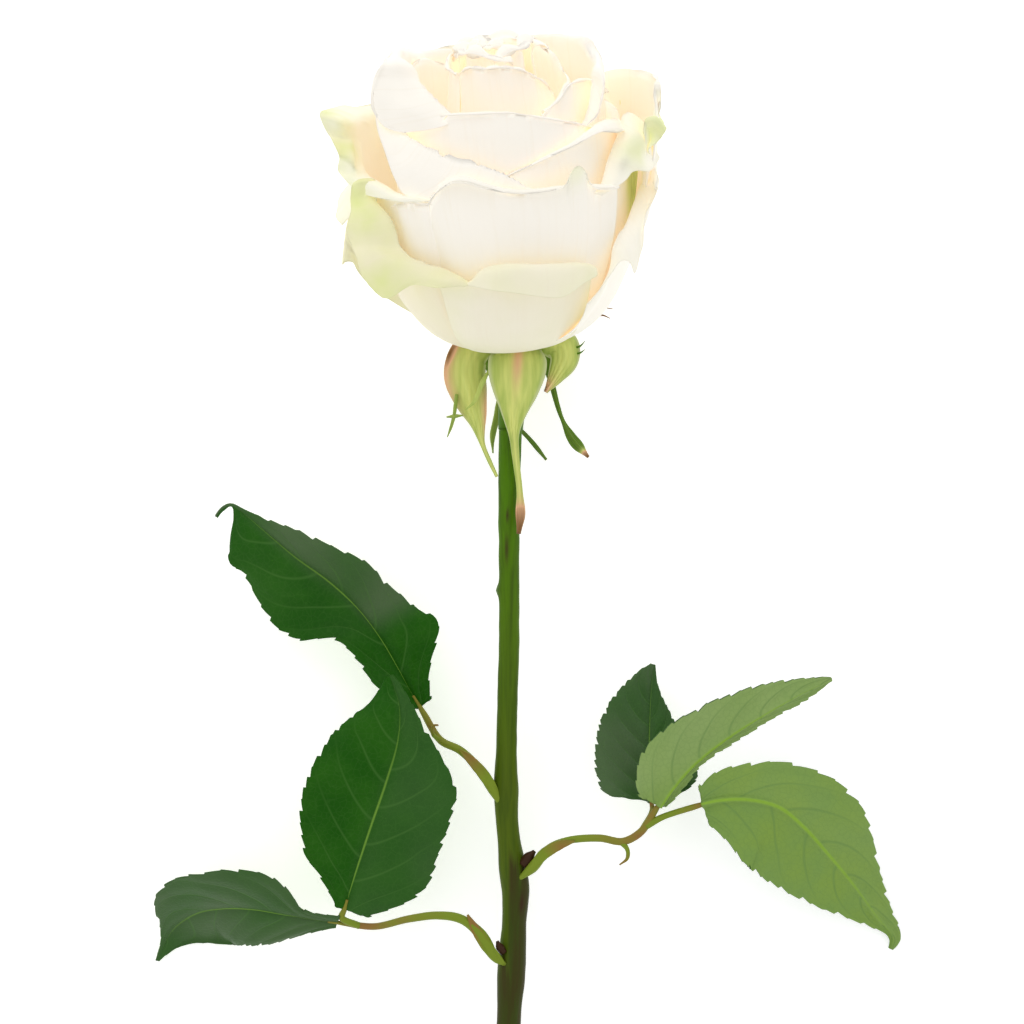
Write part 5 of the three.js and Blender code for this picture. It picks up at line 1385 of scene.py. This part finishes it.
def leaf_material(name, ground, patch, painted_sheen, vein, midrib, vein_share, **values):
    """Leaf skin: green cells in a net of fine veins under a wax film, duller on the underside."""
    material, tree, shader = new_material(name, **values)
    tint = add(tree, "ShaderNodeAttribute", attribute_name="tint").outputs["Fac"]
    place = add(tree, "ShaderNodeUVMap", uv_map="place").outputs[0]
    across, up, _ = add(tree, "ShaderNodeSeparateXYZ", {0: place}).outputs
    where = add(tree, "ShaderNodeTexCoord").outputs["Object"]
    cloud = add(tree, "ShaderNodeTexNoise", {"Vector": where, "Scale": 110, "Detail": 4}).outputs[0]
    # a net with meshes of about 1.4 mm
    net = add(
        tree, "ShaderNodeTexVoronoi", {"Vector": where, "Scale": 700}, feature="DISTANCE_TO_EDGE"
    ).outputs[0]
    clouds, threads, ending = (
        add(tree, "ShaderNodeMapRange", dict(zip(RANGE, figures))).outputs[0]
        for figures in ((cloud, 0.35, 0.68), (net, 0, 0.09, 0.35, 0), (up, 0.45, 0.95, 1, 0.15))
    )
    lines, side = leaf_veins(tree, across, up)
    both = add(tree, "ShaderNodeMath", {0: lines, 1: threads}, operation="MAXIMUM").outputs[0]
    shown = add(tree, "ShaderNodeMath", {0: both, 1: vein_share}, operation="MULTIPLY").outputs[0]
    near = add(
        tree, "ShaderNodeMapRange", dict(zip(RANGE, (side, 0.004, 0.03, 1, 0))),
        interpolation_type="SMOOTHSTEP",
    ).outputs[0]
    ribbed = add(tree, "ShaderNodeMath", {0: near, 1: ending}, operation="MULTIPLY").outputs[0]
    colour = linear(ground)
    # tint lays the painted sheen, a grey-green reflection of the sky, on one half of each leaflet
    for share, layer in ((clouds, patch), (tint, painted_sheen), (shown, vein), (ribbed, midrib)):
        colour = add(
            tree, "ShaderNodeMix", {FACTOR: share, FIRST: colour, SECOND: linear(layer)},
            data_type="RGBA",
        ).outputs[MIXED]
    tree.links.new(colour, shader.inputs["Base Color"])
    bump = add(
        tree, "ShaderNodeBump", {"Height": both, "Strength": 0.35, "Distance": 0.0003}, invert=True
    )
    tree.links.new(bump.outputs[0], shader.inputs["Normal"])
    return material


def stem_material(p):
    """Young rose bark: a smooth, ribbed skin, green where it grew last and browned lower down."""
    material, tree, shader = new_material("rose_stem_bark", Roughness=0.4, Specular_IOR_Level=0.12)
    tint = add(tree, "ShaderNodeAttribute", attribute_name="tint").outputs["Fac"]
    where = add(tree, "ShaderNodeTexCoord").outputs["Object"]
    x, y, _ = add(tree, "ShaderNodeSeparateXYZ", {0: where}).outputs
    long = add(tree, "ShaderNodeMapping", {"Vector": where, "Scale": (900, 40, 900)}).outputs[0]
    streaks = add(tree, "ShaderNodeTexNoise", {"Vector": long, "Scale": 1, "Detail": 4}).outputs[0]
    # the bark browns all round low down, and already higher up on its right side
    rough = add(
        tree, "ShaderNodeMath", {0: streaks, 1: 0.02, 2: y}, operation="MULTIPLY_ADD"
    ).outputs[0]
    ranges = [
        (y, 0.085, 0.02), (rough, 0.013, 0.008), (x, -0.0036, -0.0027), (streaks, 0.4, 0.7, 0, 0.6)
    ]
    middle, under_node, right, lines = (
        add(tree, "ShaderNodeMapRange", dict(zip(RANGE, figures))).outputs[0] for figures in ranges
    )
    low = add(
        tree, "ShaderNodeMapRange", dict(zip(RANGE, (rough, -0.008, -0.018))),
        interpolation_type="SMOOTHSTEP",
    ).outputs[0]
    flank = add(tree, "ShaderNodeMath", {0: right, 1: under_node}, operation="MULTIPLY").outputs[0]
    old = add(tree, "ShaderNodeMath", {0: low, 1: flank}, operation="MAXIMUM").outputs[0]
    layers = [(middle, p.stem_middle), (old, p.stem_low), (lines, p.stem_streak), (tint, p.scar)]
    colour = linear(p.stem_top)
    for share, layer in layers:
        colour = add(
            tree, "ShaderNodeMix", {FACTOR: share, FIRST: colour, SECOND: linear(layer)},
            data_type="RGBA",
        ).outputs[MIXED]
    tree.links.new(colour, shader.inputs["Base Color"])
    bump = add(tree, "ShaderNodeBump", {"Height": streaks, "Strength": 0.3, "Distance": 0.0004})
    tree.links.new(bump.outputs[0], shader.inputs["Normal"])
    return material


def stalk_material(p):
    """Leaf stalk skin: thin and waxy, green below and flushed red-brown in the sun."""
    material, tree, shader = new_material("rose_leaf_stalk", Roughness=0.45, Specular_IOR_Level=0.14)
    where = add(tree, "ShaderNodeTexCoord").outputs["Object"]
    cloud = add(tree, "ShaderNodeTexNoise", {"Vector": where, "Scale": 120, "Detail": 3}).outputs[0]
    place = add(tree, "ShaderNodeUVMap", uv_map="place").outputs[0]
    outward = add(tree, "ShaderNodeSeparateXYZ", {0: place}).outputs[1]
    patchy, sunned = (
        add(tree, "ShaderNodeMapRange", dict(zip(RANGE, figures))).outputs[0]
        for figures in ((cloud, 0.4, 0.6, 0.4), (outward, 0.4, 0.75))
    )
    flush = add(tree, "ShaderNodeMath", {0: patchy, 1: sunned}, operation="MULTIPLY").outputs[0]
    colour = add(
        tree, "ShaderNodeMix",
        {FACTOR: flush, FIRST: linear(p.stalk), SECOND: linear(p.stalk_flush)}, data_type="RGBA",
    ).outputs[MIXED]
    tree.links.new(colour, shader.inputs["Base Color"])
    return material


def sepal_material(p):
    """Hip and sepal skin: pale green with long veins, downy and whitish along its margins."""
    material, tree, shader = new_material(
        "rose_sepal", Roughness=0.6, Specular_IOR_Level=0.15, Sheen_Weight=0.1
    )
    tint, edge = (
        add(tree, "ShaderNodeAttribute", attribute_name=name).outputs["Fac"]
        for name in ("tint", "deep")
    )
    where = add(tree, "ShaderNodeTexCoord").outputs["Object"]
    long = add(tree, "ShaderNodeMapping", {"Vector": where, "Scale": (900, 45, 600)}).outputs[0]
    streaks = add(tree, "ShaderNodeTexNoise", {"Vector": long, "Scale": 1, "Detail": 4}).outputs[0]
    place = add(tree, "ShaderNodeUVMap", uv_map="place").outputs[0]
    across = add(tree, "ShaderNodeSeparateXYZ", {0: place}).outputs[0]
    centred = add(tree, "ShaderNodeMath", {0: across, 1: 0.5}, operation="SUBTRACT").outputs[0]
    side = add(tree, "ShaderNodeMath", {0: centred}, operation="ABSOLUTE").outputs[0]
    lines, outer = (
        add(tree, "ShaderNodeMapRange", dict(zip(RANGE, figures))).outputs[0]
        for figures in ((streaks, 0.35, 0.7), (side, 0.08, 0.4, 0, 0.6))
    )
    greener = add(
        tree, "ShaderNodeMath", {0: lines, 1: 0.5, 2: outer}, operation="MULTIPLY_ADD", use_clamp=True
    ).outputs[0]
    stemlike = add(
        tree, "ShaderNodeMath", {0: tint, 1: -1}, operation="MULTIPLY", use_clamp=True
    ).outputs[0]
    over = add(tree, "ShaderNodeMath", {0: tint, 1: 1}, operation="SUBTRACT", use_clamp=True).outputs[0]
    layers = [
        (greener, p.sepal_vein), (edge, p.sepal_rim), (stemlike, p.stem_top), (tint, p.blush),
        (over, p.withered),
    ]
    colour = linear(p.sepal)
    for share, layer in layers:
        colour = add(
            tree, "ShaderNodeMix", {FACTOR: share, FIRST: colour, SECOND: linear(layer)},
            data_type="RGBA",
        ).outputs[MIXED]
    tree.links.new(colour, shader.inputs["Base Color"])
    bump = add(tree, "ShaderNodeBump", {"Height": streaks, "Strength": 0.3, "Distance": 0.0003})
    tree.links.new(bump.outputs[0], shader.inputs["Normal"])
    return material


def floor_material():
    """Matt white board lit from below, as on a light table, so that shadows stay faint."""
    return new_material(
        "white_board", Base_Color=linear("#FFFFFF"), Roughness=0.9, Emission_Color=(1, 1, 1, 1),
        Emission_Strength=0.35,
    )[0]


# Sizes and colours that a user would change


class RoseColours(bpy.types.PropertyGroup):
    """Colours of the flower, as sRGB hex values."""

    petal: bpy.props.StringProperty(name="Petal", description="Open part of a petal", default="#FEF9EF")
    # painted shade: warm colour of the most closed-in folds, laid by how closed in a place is
    petal_fold_shade: bpy.props.StringProperty(
        name="Petal depth", description="Lower part of a petal, inside the bloom", default="#FBE6C3"
    )
    # painted glow: colour of the emission that stands in for the light coming through the petals
    petal_painted_glow: bpy.props.StringProperty(
        name="Petal glow", description="Light that comes through the petals into the folds",
        default="#DDEDF2",
    )
    petal_rim: bpy.props.StringProperty(
        name="Petal rim", description="Greened rim of the outer petals", default="#DDE592"
    )
    petal_green: bpy.props.StringProperty(
        name="Petal green", description="Green of a fold where outer petals overlap", default="#A9BC20"
    )
    # partly the lowest petals' own cream and partly painted shade that darkens them
    petal_cream_and_shade: bpy.props.StringProperty(
        name="Petal aged", description="Cream of the lowest petals", default="#EBDFB8"
    )
    petal_vein: bpy.props.StringProperty(
        name="Petal vein", description="Fine veins of a petal", default="#F1E6CC"
    )
    leaf_top: bpy.props.StringProperty(
        name="Leaf top", description="Upper face of a leaflet", default="#174F02"
    )
    leaf_patch: bpy.props.StringProperty(
        name="Leaf patches", description="Lighter patches of the upper face", default="#23590A"
    )
    # painted sheen: the grey-green reflection of the sky on one half of a leaflet's upper face
    leaf_painted_sheen: bpy.props.StringProperty(
        name="Leaf bloom", description="Dull film on the upper face's older parts", default="#4B633F"
    )
    leaf_under: bpy.props.StringProperty(
        name="Leaf underside", description="Lower face of a leaflet", default="#76964A"
    )
    stem_top: bpy.props.StringProperty(
        name="Stem top", description="Stem under the hip", default="#4A7400"
    )
    stem_middle: bpy.props.StringProperty(
        name="Stem middle", description="Stem above the leaves", default="#4C5F0A"
    )
    stem_low: bpy.props.StringProperty(
        name="Stem low", description="Browned bark below", default="#39370F"
    )
    stem_streak: bpy.props.StringProperty(
        name="Stem streaks", description="Fine lines of the bark", default="#34490A"
    )
    scar: bpy.props.StringProperty(name="Scar", description="Healed scratches and buds", default="#3A2414")
    stalk: bpy.props.StringProperty(name="Leaf stalk", description="Green of the stalks", default="#778A26")
    stalk_flush: bpy.props.StringProperty(
        name="Stalk flush", description="Red-brown of the stalks", default="#8B6A35"
    )
    sepal: bpy.props.StringProperty(name="Sepal", description="Hip and sepals", default="#DADF80")
    sepal_vein: bpy.props.StringProperty(
        name="Sepal vein", description="Long veins of the sepals", default="#A3B858"
    )
    sepal_rim: bpy.props.StringProperty(
        name="Sepal rim", description="Downy margins of the sepals", default="#C6CE98"
    )
    blush: bpy.props.StringProperty(name="Blush", description="Pink of the sepals", default="#E4B48A")
    withered: bpy.props.StringProperty(
        name="Withered", description="Brown of the sepals' dry places", default="#80592C"
    )


class RoseStage(bpy.types.PropertyGroup):
    """Floor, light and camera."""

    floor_width: bpy.props.FloatProperty(
        name="Floor width", description="Side of the square floor", default=6, unit="LENGTH"
    )
    sky: bpy.props.FloatProperty(
        name="Sky", description="Strength of the light from all round", default=0.87
    )
    key: bpy.props.FloatProperty(
        name="Key light", description="Power of the large lamp above the bloom", default=1.7, unit="POWER"
    )
    lens: bpy.props.FloatProperty(
        name="Lens", description="Focal length of the camera", default=LENS, unit="CAMERA"
    )


def settings(context):
    """The two groups of values that a user may change."""
    return context.scene.rose_colours, context.scene.rose_stage


class ROSE_OT_bloom(bpy.types.Operator):
    """Makes every petal of the bloom and the heart that the inner ones stand in"""

    bl_idname = "rose.bloom"
    bl_label = "Make Bloom"

    def execute(self, context):
        material = petal_material(settings(context)[0])
        petals = {f"petal_{name}": placed_in_bloom(given) for name, given in PETALS.items()}
        petals |= {f"petal_{name}": given for name, given in HIDDEN_PETALS.items()} | dict(swirl_petals())
        meshes = {name: petal_mesh(given) for name, given in petals.items()}
        meshes["bloom_heart"] = lathe(HEART_PROFILE, steps=48)
        shade_depths(list(meshes.values()))
        for name, bm in meshes.items():
            finished(name, bm, BLOOM, [material, material], "petal", "bloom")
        return {"FINISHED"}


class ROSE_OT_calyx(bpy.types.Operator):
    """Makes the hip with its five sepals and their side lobes"""

    bl_idname = "rose.calyx"
    bl_label = "Make Hip and Sepals"

    def execute(self, context):
        skin = sepal_material(settings(context)[0])
        finished("hip_and_sepals", calyx_mesh(), FLOWER, [skin, skin], "hip_and_sepal", "calyx")
        return {"FINISHED"}


class ROSE_OT_stem(bpy.types.Operator):
    """Makes the stem with its nodes, its scars and the small buds in the axils of two leaves"""

    bl_idname = "rose.stem"
    bl_label = "Make Stem"

    def execute(self, context):
        bark = stem_material(settings(context)[0])
        finished("stem_bark", stem_mesh(), FLOWER, [bark], "stem", "stem")
        return {"FINISHED"}


class ROSE_OT_leaves(bpy.types.Operator):
    """Makes the leaf stalks with their stipules, and the toothed leaflets that they bear"""

    bl_idname = "rose.leaves"
    bl_label = "Make Leaves"

    def execute(self, context):
        colours, _ = settings(context)
        skin = stalk_material(colours)
        for name, leaf in STALKS.items():
            finished(f"{name}_skin", leaf_stalk_mesh(leaf), FLOWER, [skin, skin], "leaf_stalk", name)
        top = leaf_material(
            "rose_leaf_top", ground=colours.leaf_top, patch=colours.leaf_patch, painted_sheen=colours.leaf_painted_sheen,
            vein="#4A7434", midrib="#6B9436", vein_share=0.38, Roughness=0.4, Specular_IOR_Level=0.08,
        )
        # the underside lays its own colour of the painted sheen, a reflection of the sky, on the same halves
        under = leaf_material(
            "rose_leaf_underside", ground=colours.leaf_under, patch="#7C9A44", painted_sheen="#8BA463",
            vein="#648648", midrib="#86AC3A", vein_share=0.5, Roughness=0.6, Specular_IOR_Level=0.14,
        )
        for name, given in LEAFLETS.items():
            finished(f"{name}_blade", leaflet_mesh(given), FLOWER, [top, under], "leaf_blade", name)
        return {"FINISHED"}


KEY_WIDTH = 0.7  # side of the square lamp
KEY_PLACE, KEY_AIM = Vector((-0.25, 0.75, 0.8)), Vector((0, 0.1, 0.02))


class ROSE_OT_stage(bpy.types.Operator):
    """Makes the floor, the lights and the camera that looks down on the flower"""

    bl_idname = "rose.stage"
    bl_label = "Make Stage"

    def execute(self, context):
        _, stage = settings(context)
        scene = context.scene
        half = stage.floor_width / 2
        bm = bmesh.new()
        bmesh.ops.create_grid(bm, x_segments=1, y_segments=1, size=half)
        mesh = bpy.data.meshes.new("floor")
        bm.to_mesh(mesh)
        bm.free()
        mesh.materials.append(floor_material())
        floor = bpy.data.objects.new("floor", mesh)
        scene.collection.objects.link(floor)

        world = bpy.data.worlds.new("studio")
        scene.world = world
        world.use_nodes = True
        sky = world.node_tree.nodes["Background"]
        sky.inputs["Color"].default_value = (1, 1, 1, 1)
        sky.inputs["Strength"].default_value = stage.sky

        lamp = bpy.data.lights.new("key", "AREA")
        lamp.shape = "SQUARE"
        lamp.size = KEY_WIDTH
        lamp.energy = stage.key
        key = bpy.data.objects.new("key", lamp)
        turn = (KEY_AIM - KEY_PLACE).to_track_quat("-Z", "Y")
        key.matrix_world = Matrix.Translation(KEY_PLACE) @ turn.to_matrix().to_4x4()
        scene.collection.objects.link(key)

        camera = bpy.data.cameras.new("camera")
        camera.lens = stage.lens
        camera.sensor_width = SENSOR
        camera.clip_start, camera.clip_end = 0.01, 20
        seer = bpy.data.objects.new("camera", camera)
        away = VIEW_WIDTH * stage.lens / SENSOR
        seat = FLOWER @ (VIEW_MIDDLE + Vector((0, 0, away)))
        seer.matrix_world = Matrix.Translation(seat) @ LIE_TURN
        scene.collection.objects.link(seer)
        scene.camera = seer
        scene.view_settings.view_transform = "Standard"
        # light goes from petal to petal many times before the pale folds swallow it
        scene.cycles.max_bounces = 24
        scene.cycles.diffuse_bounces = 16
        return {"FINISHED"}


OPERATORS = [ROSE_OT_stage, ROSE_OT_bloom, ROSE_OT_calyx, ROSE_OT_stem, ROSE_OT_leaves]


class ROSE_PT_panel(bpy.types.Panel):
    """Lists the sizes, colours and makers of the rose"""

    bl_label = "Cut Rose"
    bl_space_type = "VIEW_3D"
    bl_region_type = "UI"
    bl_category = "Rose"

    def draw(self, context):
        for group in settings(context):
            for name in group.__annotations__:
                self.layout.prop(group, name)
        for operator in OPERATORS:
            self.layout.operator(operator.bl_idname)


CLASSES = [RoseColours, RoseStage, *OPERATORS, ROSE_PT_panel]


def register():
    for cls in CLASSES:
        bpy.utils.register_class(cls)
    bpy.types.Scene.rose_colours = bpy.props.PointerProperty(type=RoseColours)
    bpy.types.Scene.rose_stage = bpy.props.PointerProperty(type=RoseStage)


def unregister():
    del bpy.types.Scene.rose_colours, bpy.types.Scene.rose_stage
    for cls in reversed(CLASSES):
        bpy.utils.unregister_class(cls)


def main():
    register()
    bpy.ops.rose.stage()
    bpy.ops.rose.bloom()
    bpy.ops.rose.calyx()
    bpy.ops.rose.stem()
    bpy.ops.rose.leaves()


if __name__ == "__main__":
    main()
